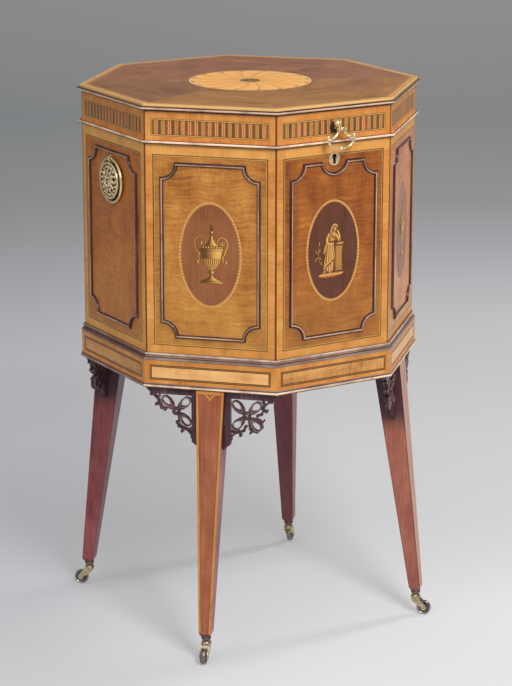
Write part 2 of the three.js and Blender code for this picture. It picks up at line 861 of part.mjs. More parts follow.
function standProfile() {
  const beadOut = standFlat + standBeadReach - standBeadRadius;
  const beadTop = standBottom + 2 * standBeadRadius;
  const filletOut = standFlat + standFilletReach;
  const collarInner = caseFlat + seatGap;
  const collarTop = caseBottom + standCollarHeight;
  const roundOut = collarInner + collarBeadRadius / 2;
  return [
    [standInner, standBottom],
    ...arc(beadOut, standBottom + standBeadRadius, standBeadRadius, -90, 90, mouldingSteps),
    [filletOut, beadTop],
    [filletOut, beadTop + standFilletHeight],
    [standFlat, beadTop + standFilletHeight],
    [standFlat, caseBottom],
    [filletOut, caseBottom + standFilletHeight / 2],
    ...arc(roundOut, caseBottom + standFilletHeight, collarCoveRadius, 0, 80, arcSteps + 1),
    ...arc(roundOut, collarTop - collarBeadRadius, collarBeadRadius, -60, 90, mouldingSteps),
    [collarInner, collarTop],
    [collarInner, caseBottom],
    [standInner, caseBottom],
  ];
}

function standFrame() {
  const mortises = [1, 3, 5, 7].map((index) => {
    const middle = (standInner + standFlat) / 2;
    const across = tenonWidth / 2 + seatGap;
    const deep = tenonDepth / 2 + seatGap;
    const hole = block(
      [-across, -middle - deep, standBottom - cutOverrun],
      [across, -middle + deep, standBottom + tenonHeight + seatGap],
    );
    return hole.rotateZ(index * turn);
  });
  return piece("stand_frame", cutAway(octagonal(standProfile()), mortises), veneer());
}

function legRings() {
  const topHalf = legTopWidth / 2;
  const footHalf = legFootWidth / 2;
  const topOut = standFlat - topHalf;
  const footOut = standFlat + legSplay - footHalf;
  const tipHalf = footHalf - legFootChamfer;
  const tenonOut = (standInner + standFlat) / 2;
  const tenon = { out: tenonOut, halfAcross: tenonWidth / 2, halfDeep: tenonDepth / 2 };
  return [
    { height: castorHeight, out: footOut, halfAcross: tipHalf, halfDeep: tipHalf },
    { height: castorHeight + legFootChamferHeight, out: footOut, halfAcross: footHalf, halfDeep: footHalf },
    { height: standBottom, out: topOut, halfAcross: topHalf, halfDeep: topHalf },
    { height: standBottom, ...tenon },
    { height: standBottom + tenonHeight, ...tenon },
  ];
}

function leg() {
  const footOut = legRings()[0].out;
  const bore = new THREE.CylinderGeometry(
    swivelPinRadius + pinGap,
    swivelPinRadius + pinGap,
    swivelPinLength + runGap + cutOverrun,
    roundSides,
  );
  bore.rotateX(Math.PI / 2);
  bore.translate(0, -footOut, castorHeight + (swivelPinLength + runGap - cutOverrun) / 2);
  return cutAway(loft(legRings()), [bore]);
}

// Half the width of the leg at a distance below the stand.
function legHalfAt(drop) {
  const taper = (legTopWidth - legFootWidth) / 2 / (legLength - legFootChamferHeight);
  return legTopWidth / 2 - taper * drop;
}

// Pierced bracket, drawn with its corner at the leg and the stand, X away from the leg, Y down negative.

function petalShape(length, halfWidth, start) {
  const roundShare = 0.3;
  const shape = new THREE.Shape();
  shape.moveTo(start, 0);
  shape.bezierCurveTo(start + length * roundShare, -halfWidth, start + length, -halfWidth, start + length, 0);
  shape.bezierCurveTo(start + length, halfWidth, start + length * roundShare, halfWidth, start, 0);
  return shape;
}

function bracketPetal(degrees, depth) {
  const shape = petalShape(petalLength - bossHoleRadius, petalHalfWidth, bossHoleRadius);
  const holeStart = bossRadius + 2 * petalBand;
  const bandShare = 1.2;
  const holeLength = petalLength - petalBand - holeStart;
  const hole = petalShape(holeLength, petalHalfWidth - petalBand * bandShare, holeStart);
  shape.holes.push(new THREE.Path(hole.getPoints(arcSteps)));
  const petal = slab(shape, depth).rotateZ(THREE.MathUtils.degToRad(degrees));
  return petal.translate(bossAcross, -bossDown, 0);
}

function strap([x0, y0], [x1, y1], depth) {
  const length = Math.hypot(x1 - x0, y1 - y0);
  const bar = block([0, -strapWidth / 2, 0], [length, strapWidth / 2, depth]);
  return bar.rotateZ(Math.atan2(y1 - y0, x1 - x0)).translate(x0, y0, 0);
}

function bud([x, y], depth) {
  const bead = new THREE.CylinderGeometry(budRadius, budRadius, depth, wireSides);
  return bead.rotateX(Math.PI / 2).translate(x, y, depth / 2);
}

// A run of straps through points, with a bud at each of the points named as buds.
function strapRun(points, buds, depth) {
  const straps = points.slice(1).map((point, index) => strap(points[index], point, depth));
  return [...straps, ...buds.map((point) => bud(point, depth))];
}

// The trims on one side of the bracket's diagonal: a leaf that hangs from the rail beside a petal, and half
// of the crescent round the outermost petal. The other side is the same, reflected in the diagonal.
function bracketTrims(whole, reflected, depth) {
  const place = ([alongShare, upShare]) => {
    const [x, y] = reflected ? [-upShare, -alongShare] : [alongShare, upShare];
    return [bossAcross + x * petalLength, y * petalLength - bossDown];
  };
  const leafPoints = (...names) => names.map((name) => place(leafShares[name]));
  const crescentPoints = (...names) => names.map((name) => place(crescentShares[name]));
  const leaf = [
    ...strapRun(leafPoints("near", "fork", "stem", "curl", "tail"), leafPoints("heel", "curl", "tail"), depth),
    ...strapRun(leafPoints("far", "fork"), leafPoints("far", "lobe"), depth),
    ...strapRun(leafPoints("stem", "knop"), leafPoints("knop"), depth),
  ];
  const crescent = [
    ...strapRun(crescentPoints("root", "horn", "shoulder", "rim"), crescentPoints("shoulder"), depth),
    ...strapRun(crescentPoints("shoulder", "spur"), crescentPoints("rim"), depth),
  ];
  return whole ? [...leaf, ...crescent] : leaf;
}

// The stile against the leg and the rail under the stand, both thinned to a tip.
function bracketFrame(depth) {
  const footOffset = legHalfAt(bracketDrop) - legTopWidth / 2;
  const tipShare = 0.9;
  const frame = outlineOf([
    [0, 0],
    [footOffset, -bracketDrop],
    [bracketStileWidth, -bracketDrop * tipShare],
    [bracketStileWidth, -bracketRailDepth],
    [bracketReach * tipShare, -bracketRailDepth],
    [bracketReach, -budRadius],
    [bracketReach, 0],
  ]);
  return slab(frame, depth);
}

// One bracket for the right-hand side of a leg. A broken one has lost its outermost petal.
function bracket(whole) {
  const depth = bracketThickness;
  const petals = [45, 135, 225, ...(whole ? [-45] : [])].map((degrees) => bracketPetal(degrees, depth));
  const boss = slab(disc(bossRadius, bossAcross, -bossDown), depth);
  const drill = slab(disc(bossHoleRadius, bossAcross, -bossDown), depth + 2 * cutOverrun);
  const trims = [false, true].flatMap((reflected) => bracketTrims(whole, reflected, depth));
  const fret = joined([bracketFrame(depth), ...petals, boss, ...trims]);
  const pierced = cutAway(fret, [drill.translate(0, 0, -cutOverrun)]);
  const back = -standFlat + bracketSetback + bracketThickness;
  return upright(pierced).translate(legTopWidth / 2 + seatGap, back, standBottom);
}

function mirrored(geometry) {
  const flipped = geometry.scale(-1, 1, 1);
  const index = [...flipped.index.array];
  for (let corner = 0; corner < index.length; corner += 3) {
    [index[corner], index[corner + 1]] = [index[corner + 1], index[corner]];
  }
  flipped.setIndex(index);
  return flipped;
}

function castorHorn() {
  const top = castorHeight - seatGap;
  const crownLow = top - castorCrownHeight;
  const collarLow = top - castorCrownHeight / 3;
  const waistShare = 0.76;
  const stem = turned([
    [0, crownLow],
    [castorCollarRadius, crownLow],
    [castorCollarRadius, crownLow + castorCrownHeight / 3],
    [castorCollarRadius * waistShare, collarLow - castorCheekThickness / 2],
    [castorCollarRadius, collarLow],
    [castorCollarRadius, top],
    [swivelPinRadius, top],
    [swivelPinRadius, top + swivelPinLength],
    [0, top + swivelPinLength],
  ], 2 * wireSides);
  const inner = castorWheelWidth / 2 + castorSideGap;
  const axleLength = 2 * (inner + castorCheekThickness) + castorCheekThickness / 2;
  const axle = crossRod(castorAxleRadius, axleLength, -castorTrail, castorWheelRadius, 2 * wireSides);
  const cheeks = [-inner, inner + castorCheekThickness].map((x) => castorCheek(crownLow).translate(x, 0, 0));
  return joined([stem, ...cheeks, axle]);
}

// One cheek of the horn, drawn as distance out and height, swept from the crown to the axle.
function castorCheek(crownLow) {
  const cheekTop = crownLow + castorCrownHeight / 3;
  const boss = castorBossRadius;
  const shape = new THREE.Shape();
  shape.moveTo(-castorCheekSpread, cheekTop);
  shape.bezierCurveTo(
    -castorCheekSpread, castorWheelRadius + boss,
    castorTrail - boss, castorWheelRadius + boss,
    castorTrail - boss, castorWheelRadius,
  );
  shape.absarc(castorTrail, castorWheelRadius, boss, Math.PI, 2 * Math.PI, false);
  shape.bezierCurveTo(
    castorTrail + boss, castorWheelRadius + 2 * boss,
    castorCheekSpread, crownLow - boss,
    castorCheekSpread, cheekTop,
  );
  const plate = slab(shape, castorCheekThickness);
  return plate.rotateX(Math.PI / 2).rotateZ(-Math.PI / 2);
}

function castorWheel() {
  const half = castorWheelWidth / 2;
  const shoulder = castorWheelRadius - castorTreadRound;
  const bore = castorAxleRadius + pinGap;
  const profile = [
    [bore, -half],
    [shoulder, -half],
    [castorWheelRadius, -half + castorTreadRound],
    [castorWheelRadius, half - castorTreadRound],
    [shoulder, half],
    [bore, half],
    [bore, -half],
  ];
  return turned(profile, roundSides).rotateY(Math.PI / 2).translate(0, -castorTrail, castorWheelRadius);
}

function castor(name) {
  const group = new THREE.Group();
  group.position.y = -legRings()[0].out;
  group.add(piece(`castor_horn_${name}`, castorHorn(), brass()));
  group.add(piece(`castor_wheel_${name}`, castorWheel(), brass()));
  return group;
}

function stand() {
  const group = new THREE.Group();
  group.add(standFrame());
  sideNames.forEach((name, index) => {
    if (index % 2 === 0) {
      return;
    }
    const side = sideGroup(index);
    side.add(piece(`leg_${name}`, leg(), mahogany()));
    side.add(piece(`bracket_${name}_right`, bracket(true), darkWood()));
    side.add(piece(`bracket_${name}_left`, mirrored(bracket(name !== "front_left")), darkWood()));
    side.add(castor(name));
    group.add(side);
  });
  return group;
}

const cellarette = new THREE.Group();
cellarette.add(caseSides(), caseFloor(), leadLiner(), bottleLattice());
cellarette.add(lockCase(), lockBolt(), escutcheon(), lid());
const lowerHinges = new THREE.Group();
lowerHinges.add(...hinges(false));
cellarette.add(lowerHinges);
cellarette.add(ringHandle("right", 2), ringHandle("left", 6), stand());

// The origin is under the middle of the whole object, on the floor.
const reach = new THREE.Box3().setFromObject(cellarette);
cellarette.position.y = -(reach.min.y + reach.max.y) / 2;

export default cellarette;
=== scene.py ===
"""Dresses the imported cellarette: figured veneers and inlay, fretwork, aged brass, lead and a plain studio."""

import logging
import math
from collections.abc import Callable, Sequence
from dataclasses import dataclass, field
from enum import Enum
from functools import cached_property
from typing import Union

import bmesh
import bpy
import numpy as np
from mathutils import Matrix, Vector


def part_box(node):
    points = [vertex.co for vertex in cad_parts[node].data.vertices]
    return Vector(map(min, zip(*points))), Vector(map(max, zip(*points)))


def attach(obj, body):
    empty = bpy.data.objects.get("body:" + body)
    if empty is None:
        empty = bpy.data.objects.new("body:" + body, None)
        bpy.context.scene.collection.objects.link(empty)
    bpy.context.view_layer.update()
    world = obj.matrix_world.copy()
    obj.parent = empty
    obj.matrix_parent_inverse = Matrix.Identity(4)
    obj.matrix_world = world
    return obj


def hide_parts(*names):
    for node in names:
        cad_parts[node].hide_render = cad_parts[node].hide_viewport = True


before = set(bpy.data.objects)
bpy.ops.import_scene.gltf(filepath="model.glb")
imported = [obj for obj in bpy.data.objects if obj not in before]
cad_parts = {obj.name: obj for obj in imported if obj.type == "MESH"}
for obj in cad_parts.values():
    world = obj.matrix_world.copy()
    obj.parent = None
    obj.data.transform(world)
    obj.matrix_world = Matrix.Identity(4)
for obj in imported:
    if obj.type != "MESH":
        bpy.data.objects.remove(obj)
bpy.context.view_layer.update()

log = logging.getLogger("cellarette")

Array = np.ndarray
Material = bpy.types.Material
Place = tuple[float, float, float]
Profile = Sequence[tuple[float, float]]
Shade = Callable[[Array, Array], Array]
Tone = str
Source = Union["Signal", float, Tone]

TURN = math.tau / 8
PLAN_MIDDLE = float(sum(corner.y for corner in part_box("stand_frame")) / 2)


def linear(tone: Tone) -> tuple[float, ...]:
    """Turns a display colour, two hexadecimal digits a part, into the linear colour that a shader takes.

    Args:
        tone: The colour as a hex code.

    Returns:
        Red, green, blue and an alpha of one.
    """
    parts = np.array([*bytes.fromhex(tone)]) / 255
    bright = ((parts + 0.055) / 1.055) ** 2.4
    return (*np.where(parts <= 0.04045, parts / 12.92, bright).tolist(), 1.0)


class Side(Enum):
    """The eight sides of the case, counted from the front towards the right."""

    FRONT = 0
    FRONT_RIGHT = 1
    RIGHT = 2
    BACK_RIGHT = 3
    BACK = 4
    BACK_LEFT = 5
    LEFT = 6
    FRONT_LEFT = 7

    @property
    def word(self) -> str:
        """The side's name as the frame spells it."""
        return self.name.lower()

    def place(self, across: Array, out: Array, height: Array) -> Array:
        """Turns places seen from this side into millimetres round the middle of the case.

        The point lies out along the side's outward line, plus across along the line to its right.

        Args:
            across: Distance to the right of the side's middle line.
            out: Distance out from the upright line through the middle of the case.
            height: Height above the floor.

        Returns:
            The points, with X, Y and Z on the last axis.
        """
        angle = self.value * TURN
        x = out * math.sin(angle) + across * math.cos(angle)
        y = across * math.sin(angle) - out * math.cos(angle)
        return np.stack(np.broadcast_arrays(x, y, height), axis=-1).astype(float)


CORNERS = (Side.FRONT_RIGHT, Side.BACK_RIGHT, Side.BACK_LEFT, Side.FRONT_LEFT)


# Surfaces


@dataclass
class Shell:
    """A closed skin: its points in millimetres, its faces, and a tone for each point."""

    points: Array
    faces: list[list[int]]
    tones: Array


def skin(points: Array, tones: Array | float = 0.0, rows_closed: bool = False, capped: bool = False) -> Shell:
    """Joins a grid of points with faces, the last column to the first too, and welds points that meet.

    Each face takes two neighbours from one row and two from the next. The sum of the volumes
    between each face and the origin is negative on a skin that is inside out, which is turned.

    Args:
        points: Grid of points, rows by columns by three.
        tones: One tone for the skin, or one for each point of the grid.
        rows_closed: Joins the last row to the first.
        capped: Closes the first and last row with one flat face each.

    Returns:
        The welded shell.
    """
    rows, columns = points.shape[:2]
    index = np.arange(rows * columns).reshape(rows, columns)
    caps = [index[0, ::-1], index[-1]] if capped else []
    if rows_closed:
        index = np.vstack([index, index[:1]])
    index = np.hstack([index, index[:, :1]])
    quads = np.stack([index[:-1, :-1], index[:-1, 1:], index[1:, 1:], index[1:, :-1]], axis=-1).reshape(-1, 4)
    flat = points.reshape(-1, 3)
    _, first, inverse = np.unique(np.round(flat, 5), axis=0, return_index=True, return_inverse=True)
    inverse = inverse.reshape(-1)
    corners = flat[first]
    quads = inverse[quads]
    caps = [inverse[cap] for cap in caps]
    repeats = quads == np.roll(quads, -1, axis=1)
    whole = quads[~repeats.any(axis=1)]
    halves = [np.delete(quads[repeats[:, k] & (repeats.sum(axis=1) == 1)], k, axis=1) for k in range(4)]
    fans = [whole[:, :3], whole[:, [0, 2, 3]], *halves]
    fans += [np.stack([np.full(len(cap) - 2, cap[0]), cap[1:-1], cap[2:]], axis=-1) for cap in caps]
    wedges = np.concatenate(fans)
    a, b, c = (corners[wedges[:, k]] for k in range(3))
    way = -1 if np.einsum("ij,ij->", a, np.cross(b, c)) < 0 else 1
    faces = [face for group in (whole, *halves) for face in group[:, ::way].tolist()]
    faces += [cap[::way].tolist() for cap in caps]
    spread = np.broadcast_to(np.asarray(tones, float), points.shape[:2]).reshape(-1)
    return Shell(corners, faces, spread[first])


@dataclass
class Piece:
    """A mesh piece gathered from shells, which rides on a body of the frame."""

    name: str
    body: str
    slot: str
    shells: list[Shell] = field(default_factory=list)
    replaces: tuple[str, ...] = ()
    crease: float = 38.0

    def add(self, *shells: Shell) -> "Piece":
        """Adds shells to the piece."""
        self.shells.extend(shells)
        return self

    def build(self, finish: Material) -> None:
        """Puts the shells into one mesh, dresses it and hands it to the frame.

        Args:
            finish: Material of the whole piece.
        """
        starts = np.cumsum([0] + [len(shell.points) for shell in self.shells])
        points = np.concatenate([shell.points for shell in self.shells]) * 0.001
        points[:, 1] += PLAN_MIDDLE
        faces = [
            [corner + int(start) for corner in face]
            for shell, start in zip(self.shells, starts)
            for face in shell.faces
        ]
        mesh = bpy.data.meshes.new(self.name)
        mesh.from_pydata(points.tolist(), [], faces)
        shades = mesh.attributes.new("tone", "FLOAT", "POINT")
        shades.data.foreach_set("value", np.concatenate([shell.tones for shell in self.shells]))
        mesh.polygons.foreach_set("use_smooth", np.ones(len(faces), bool))
        mesh.set_sharp_from_angle(angle=math.radians(self.crease))
        mesh.materials.append(finish)
        mesh.update()
        mount(link(self.name, mesh), self.body, self.slot, self.replaces)


def around(steps: int) -> Array:
    """Angles evenly round a whole turn."""
    return np.linspace(0, math.tau, steps, endpoint=False)


def unit(vectors: Array) -> Array:
    """The vectors on the last axis, each over its own length."""
    return vectors / np.linalg.norm(vectors, axis=-1, keepdims=True)


def cubic(handles: Sequence[Sequence[float]], steps: int) -> Array:
    """Points of the cubic of four handles, each weighted by its share of the way.

    Args:
        handles: The four handles.
        steps: How many steps the points make.

    Returns:
        The points in order.
    """
    a, b, c, d = np.asarray(handles, float)[:, None]
    t = np.linspace(0, 1, steps)[:, None]
    return (1 - t) ** 3 * a + 3 * t * (1 - t) ** 2 * b + 3 * t**2 * (1 - t) * c + t**3 * d


def away(bearing: float, rise: float) -> Vector:
    """The direction at a bearing from the front towards the right and a rise over the floor, in degrees."""
    turn, rise = math.radians(bearing), math.radians(rise)
    return Vector((math.sin(turn) * math.cos(rise), -math.cos(turn) * math.cos(rise), math.sin(rise)))


def link(name: str, data: bpy.types.ID) -> bpy.types.Object:
    """Stands an object with this data in the scene.

    Args:
        name: The object's name.
        data: Its mesh, light or camera.

    Returns:
        The object.
    """
    thing = bpy.data.objects.new(name, data)
    bpy.context.scene.collection.objects.link(thing)
    return thing


def mount(thing: bpy.types.Object, body: str, slot: str, replaces: Sequence[str]) -> None:
    """Hands an object to the frame.

    Args:
        thing: The object.
        body: The body it rides on.
        slot: Its slot; not used.
        replaces: The nodes it replaces, if any.
    """
    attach(thing, body)
    if replaces:
        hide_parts(*replaces)
    log.info("%s: %d faces on %s", thing.name, len(thing.data.polygons), body)


def arc(middle: tuple[float, float], radius: float, start: float, end: float, steps: int = 12) -> Array:
    """Points of an arc: the middle plus the radius turned from the start angle to the end angle, in degrees."""
    angles = np.radians(np.linspace(start, end, steps + 1))
    return np.array(middle) + radius * np.stack([np.cos(angles), np.sin(angles)], axis=-1)


def smooth(knots: Sequence[Sequence[float]], steps: int = 10) -> Array:
    """Points of a curve through knots.

    Between two knots the curve is the cubic whose slope at each knot is half the line between
    the knots on either side of it.

    Args:
        knots: The places that the curve goes through.
        steps: Points for each stretch between two knots.

    Returns:
        The points of the curve, in order.
    """
    k = np.asarray(knots, float)
    k = np.vstack([2 * k[0] - k[1], k, 2 * k[-1] - k[-2]])
    t = np.linspace(0, 1, steps, endpoint=False)[:, None, None]
    a, b, c, d = k[:-3], k[1:-2], k[2:-1], k[3:]
    curve = b + t * (c - a) / 2 + t**2 * (a - 2.5 * b + 2 * c - d / 2) + t**3 * (1.5 * (b - c) + (d - a) / 2)
    return np.vstack([curve.transpose(1, 0, 2).reshape(-1, k.shape[1]), k[-2]])


def mitres(outline: Array) -> Array:
    """Outward mitre of each point of a closed outline that runs anticlockwise.

    The mitre is the sum of the two neighbouring edges turned to the right, over one plus the
    cosine between them, so that an offset keeps its distance from both edges.

    Args:
        outline: Points of the outline, two numbers each.

    Returns:
        One vector for each point.
    """
    edge = unit(np.roll(outline, -1, axis=0) - outline)
    total = edge + np.roll(edge, 1, axis=0)
    cosine = np.sum(edge * np.roll(edge, 1, axis=0), axis=1, keepdims=True)
    return np.stack([total[:, 1], -total[:, 0]], axis=-1) / np.maximum(1 + cosine, 0.2)


class Axis(Enum):
    """The line that a turned shape turns about, seen from a side."""

    ACROSS = 0
    OUT = 1
    HEIGHT = 2


def turned(
    side: Side, middle: Place, profile: Profile, axis: Axis, segments: int,
    tones: Sequence[float] | float = 0.0, closed: bool = False,
) -> Shell:
    """Turns a profile about a line: each point of it runs round a circle of its own radius.

    Args:
        side: Side that the shape is placed from.
        middle: Across, out and height of the place where the profile is measured from.
        profile: Radius and distance along the axis of each point, from one end to the other.
        axis: The line turned about.
        segments: Steps round the circle.
        tones: One tone, or one for each point of the profile.
        closed: Joins the last point of the profile to the first.

    Returns:
        The turned shell.
    """
    radius, along = np.asarray(profile, float).T[:, :, None]
    angle = around(segments)[None, :]
    first, second = radius * np.cos(angle), radius * np.sin(angle)
    spans = {
        Axis.ACROSS: (along, first, second),
        Axis.OUT: (first, along, second),
        Axis.HEIGHT: (first, second, along),
    }[axis]
    across, out, height = (start + span for start, span in zip(middle, np.broadcast_arrays(*spans)))
    shades = np.broadcast_to(np.asarray(tones, float).reshape(-1, 1), across.shape)
    return skin(side.place(across, out, height), shades, rows_closed=closed)


def mirrored(half: Profile, *middle: tuple[float, float]) -> Profile:
    """A turned profile from its first half: the same radii again with the distances turned over."""
    return [*half, *middle, *((radius, -along) for radius, along in half[::-1])]


def rod(side: Side, path: Array, radii: Array, segments: int = 16) -> Shell:
    """A round rod whose radius changes along a path, closed at both ends.

    Each ring is the path's point plus its radius turned in the plane square to the path.

    Args:
        side: Side that the path is placed from.
        path: Across, out and height of each point.
        radii: Radius at each point.
        segments: Steps round the rod.

    Returns:
        The closed shell.
    """
    along = unit(np.gradient(path, axis=0))
    flatwise = unit(np.cross(along, [0.0, 1.0, 0.0]))
    upright = np.cross(flatwise, along)
    angle = around(segments)[None, :, None]
    ring = np.cos(angle) * flatwise[:, None] + np.sin(angle) * upright[:, None]
    tube = path[:, None] + np.asarray(radii)[:, None, None] * ring
    return skin(side.place(*np.moveaxis(tube, -1, 0)), capped=True)


def ball(side: Side, middle: Place, radii: Place, rings: int = 12) -> Shell:
    """An egg: the middle plus each radius times the sines and cosines of two angles.

    Args:
        side: The side it stands on.
        middle: Its middle.
        radii: Its three radii.
        rings: How many rings it has from pole to pole.

    Returns:
        The closed shell.
    """
    polar = np.linspace(0, math.pi, rings + 1)[:, None]
    round_ = around(2 * rings)[None, :]
    across = middle[0] + radii[0] * np.sin(polar) * np.cos(round_)
    out = middle[1] + radii[1] * np.sin(polar) * np.sin(round_)
    height = middle[2] + radii[2] * np.cos(polar)
    return skin(side.place(across, out, height))


def soft_plate(outline: Array, low: float, high: float, soften: float, to_place: Callable[..., Array]) -> Shell:
    """A flat plate with rounded edges.

    The outline is repeated at each level. Near both faces it moves in along its mitres by the
    softening less the sine of an angle that runs over a quarter turn.

    Args:
        outline: Points of the closed outline, anticlockwise.
        low: Level of one face.
        high: Level of the other face.
        soften: Radius of the rounded edges.
        to_place: Turns the two outline numbers and the level into points.

    Returns:
        The closed shell.
    """
    angle = np.radians(np.linspace(0, 90, 5))
    inset = soften * (1 - np.sin(angle))
    level = soften * (1 - np.cos(angle))
    insets = np.concatenate([inset, inset[::-1]])
    levels = np.concatenate([low + level, high - level[::-1]])
    grid = outline[None] - insets[:, None, None] * mitres(outline)[None]
    first, second = np.moveaxis(grid, -1, 0)
    return skin(to_place(first, second, levels[:, None]), capped=True)


# Node graphs


def sign(operation: str, turned_round: bool = False) -> Callable[["Signal", Source], "Signal"]:
    """A sign of arithmetic between a signal and a source, or the other way round.

    Args:
        operation: The node's operation.
        turned_round: Whether the source comes first.

    Returns:
        The method for the sign.
    """

    def step(self: "Signal", other: Source) -> "Signal":
        """Adds the step to the signal's graph."""
        return self.graph.math(operation, *((other, self) if turned_round else (self, other)))

    return step


@dataclass(frozen=True, eq=False)
class Signal:
    """A value that changes over the surface. Each sign of arithmetic on it adds one node."""

    graph: "Graph"
    socket: bpy.types.NodeSocket
    __add__, __radd__ = sign("ADD"), sign("ADD", True)
    __sub__, __rsub__ = sign("SUBTRACT"), sign("SUBTRACT", True)
    __mul__, __rmul__ = sign("MULTIPLY"), sign("MULTIPLY", True)
    __truediv__, __pow__ = sign("DIVIDE"), sign("POWER")
    __lt__, __gt__ = sign("LESS_THAN"), sign("GREATER_THAN")

    def __abs__(self) -> "Signal":
        """The value without its sign."""
        return self.graph.math("ABSOLUTE", self)


class Graph:
    """Adds nodes to a node tree and feeds their sockets."""

    def __init__(self, tree: bpy.types.NodeTree) -> None:
        """Starts on a node tree."""
        self.tree = tree

    def add(self, kind: str, **settings: object) -> bpy.types.Node:
        """Adds one node of a kind, with its settings.

        Args:
            kind: The node's type without its prefix.
            settings: The node's settings by name.

        Returns:
            The node.
        """
        node = self.tree.nodes.new(f"ShaderNode{kind}")
        for name, value in settings.items():
            setattr(node, name, value)
        return node

    def feed(self, socket: bpy.types.NodeSocket, source: Source) -> None:
        """Links a signal to a socket, or sets its plain value or tone.

        Args:
            socket: The input.
            source: A signal, a number, a place or a hex code.
        """
        if isinstance(source, Signal):
            self.tree.links.new(source.socket, socket)
        else:
            socket.default_value = linear(source) if isinstance(source, str) else source

    def step(self, kind: str, sources: dict[int | str, Source], out: int | str = 0, **settings: object) -> Signal:
        """Adds a node, feeds its sockets from the sources, and gives back one output.

        Args:
            kind: The node's type without its prefix.
            sources: What each input takes.
            out: The output to give back.
            settings: The node's settings by name.

        Returns:
            The output's signal.
        """
        node = self.add(kind, **settings)
        for socket, source in sources.items():
            self.feed(node.inputs[socket], source)
        return Signal(self, node.outputs[out])

    def read(self, kind: str, output: str, **settings: object) -> Signal:
        """Adds a node that reads the surface, and gives back its named output."""
        return self.step(kind, {}, output, **settings)

    def place(self) -> list[Signal]:
        """The three object coordinates, in metres.

        Returns:
            The signals of x, y and z.
        """
        node = self.add("SeparateXYZ")
        self.feed(node.inputs[0], self.read("TexCoord", "Object"))
        return [Signal(self, socket) for socket in node.outputs]

    def math(self, operation: str, *sources: Source) -> Signal:
        """One step of arithmetic."""
        return self.step("Math", dict(enumerate(sources)), operation=operation)

    def most(self, first: Source, second: Source) -> Signal:
        """The greater of two values."""
        return self.math("MAXIMUM", first, second)

    def root(self, value: Source) -> Signal:
        """The square root of a value."""
        return self.math("SQRT", value)

    def within(self, value: Source, low: float, high: float) -> Signal:
        """One where the value lies between two limits, else zero."""
        return self.math("COMPARE", value, (low + high) / 2, (high - low) / 2)

    def fade(self, value: Source, low: float, high: float) -> Signal:
        """Rises from zero at the low value to one at the high value."""
        return self.step("MapRange", {0: value, 1: low, 2: high}, interpolation_type="SMOOTHSTEP")

    def pick(self, mask: Source, without: Source, with_: Source) -> Signal:
        """One number where the mask is zero and another where it is one."""
        return self.step("Mix", {0: mask, 2: without, 3: with_}, data_type="FLOAT")

    def mix(self, mask: Source, under: Source, over: Source, blend: str = "MIX") -> Signal:
        """Lays one colour over another where the mask is one."""
        return self.step("Mix", {0: mask, 6: under, 7: over}, 2, data_type="RGBA", blend_type=blend)

    def lines(self, colour: Source, distance: Source, bands: Sequence[tuple[float, float, Source]]) -> Signal:
        """Lays bands of colour, each between two distances, over a colour.

        Args:
            colour: The colour below.
            distance: The distance that the bands are set by.
            bands: Start, end and colour of each band.

        Returns:
            The colour with its bands.
        """
        for low, high, band in bands:
            colour = self.mix(self.within(distance, low, high), colour, band)
        return colour

    def vector(self, x: Source, y: Source, z: Source) -> Signal:
        """Three numbers as one vector."""
        return self.step("CombineXYZ", {0: x, 1: y, 2: z})

    def noise(self, vector: Source, detail: float = 2.0, scale: float = 1.0, rough: float = 0.5) -> Signal:
        """Soft random values of about one half, one bump to each unit over the scale."""
        return self.step("TexNoise", {"Vector": vector, "Scale": scale, "Detail": detail, "Roughness": rough})

    def ramp(self, value: Source, stops: Sequence[tuple[float, Tone]]) -> Signal:
        """Colours along a value from zero to one.

        Args:
            value: The value.
            stops: Position and colour of each stop.

        Returns:
            The colour.
        """
        node = self.add("ValToRGB")
        self.feed(node.inputs[0], value)
        elements = node.color_ramp.elements
        for _ in range(len(stops) - 2):
            elements.new(0.5)
        for element, (position, colour) in zip(elements, stops):
            element.position, element.color = position, linear(colour)
        return Signal(self, node.outputs[0])

    def use(self, effect: "Effect", **sources: Source) -> dict[str, Signal]:
        """Places a shared effect with its own values, and gives back its outputs by name.

        Args:
            effect: The effect.
            sources: What its inputs take, by name.

        Returns:
            The outputs by name.
        """
        node = self.add("Group", node_tree=bpy.data.node_groups[effect.value])
        for name, source in sources.items():
            self.feed(node.inputs[name], source)
        return {socket.name: Signal(self, socket) for socket in node.outputs}

    def facet(self, *names: str) -> list[Signal]:
        """The named places on the case."""
        place = self.use(Effect.FACET)
        return [place[name] for name in names]

    def reach(self, across: Signal, height: Signal, half: float, low: float, high: float) -> tuple[Signal, Signal]:
        """How far a place lies outside a panel, to the side and up or down."""
        return abs(across) - half, abs(height - (low + high) / 2) - (high - low) / 2


class Effect(Enum):
    """The effects that more than one finish uses."""

    FACET = "Place on the case"
    TIMBER = "Figure of a veneer"
    OVAL = "Distance from an oval"
    POLISH = "Old polish"


def effect_tree(effect: Effect, inputs: str, outputs: str) -> tuple[Graph, dict[str, Signal], Callable[..., None]]:
    """Starts the node group of an effect.

    Args:
        effect: The effect.
        inputs: Names of the inputs, with a hash before each colour.
        outputs: Names of the outputs in the same way.

    Returns:
        Its graph, its inputs by name, and what takes its outputs by name.
    """
    tree = bpy.data.node_groups.new(effect.value, "ShaderNodeTree")
    for way, names in (("INPUT", inputs), ("OUTPUT", outputs)):
        for name in names.split(", ") if names else ():
            kind = "Color" if name.startswith("#") else "Float"
            tree.interface.new_socket(name.removeprefix("#"), in_out=way, socket_type=f"NodeSocket{kind}")
    g, result = Graph(tree), tree.nodes.new("NodeGroupOutput")
    given = {socket.name: Signal(g, socket) for socket in tree.nodes.new("NodeGroupInput").outputs if socket.name}

    def finish(**values: Source) -> None:
        """Feeds the outputs of the effect."""
        for name, value in values.items():
            g.feed(result.inputs[name], value)

    return g, given, finish


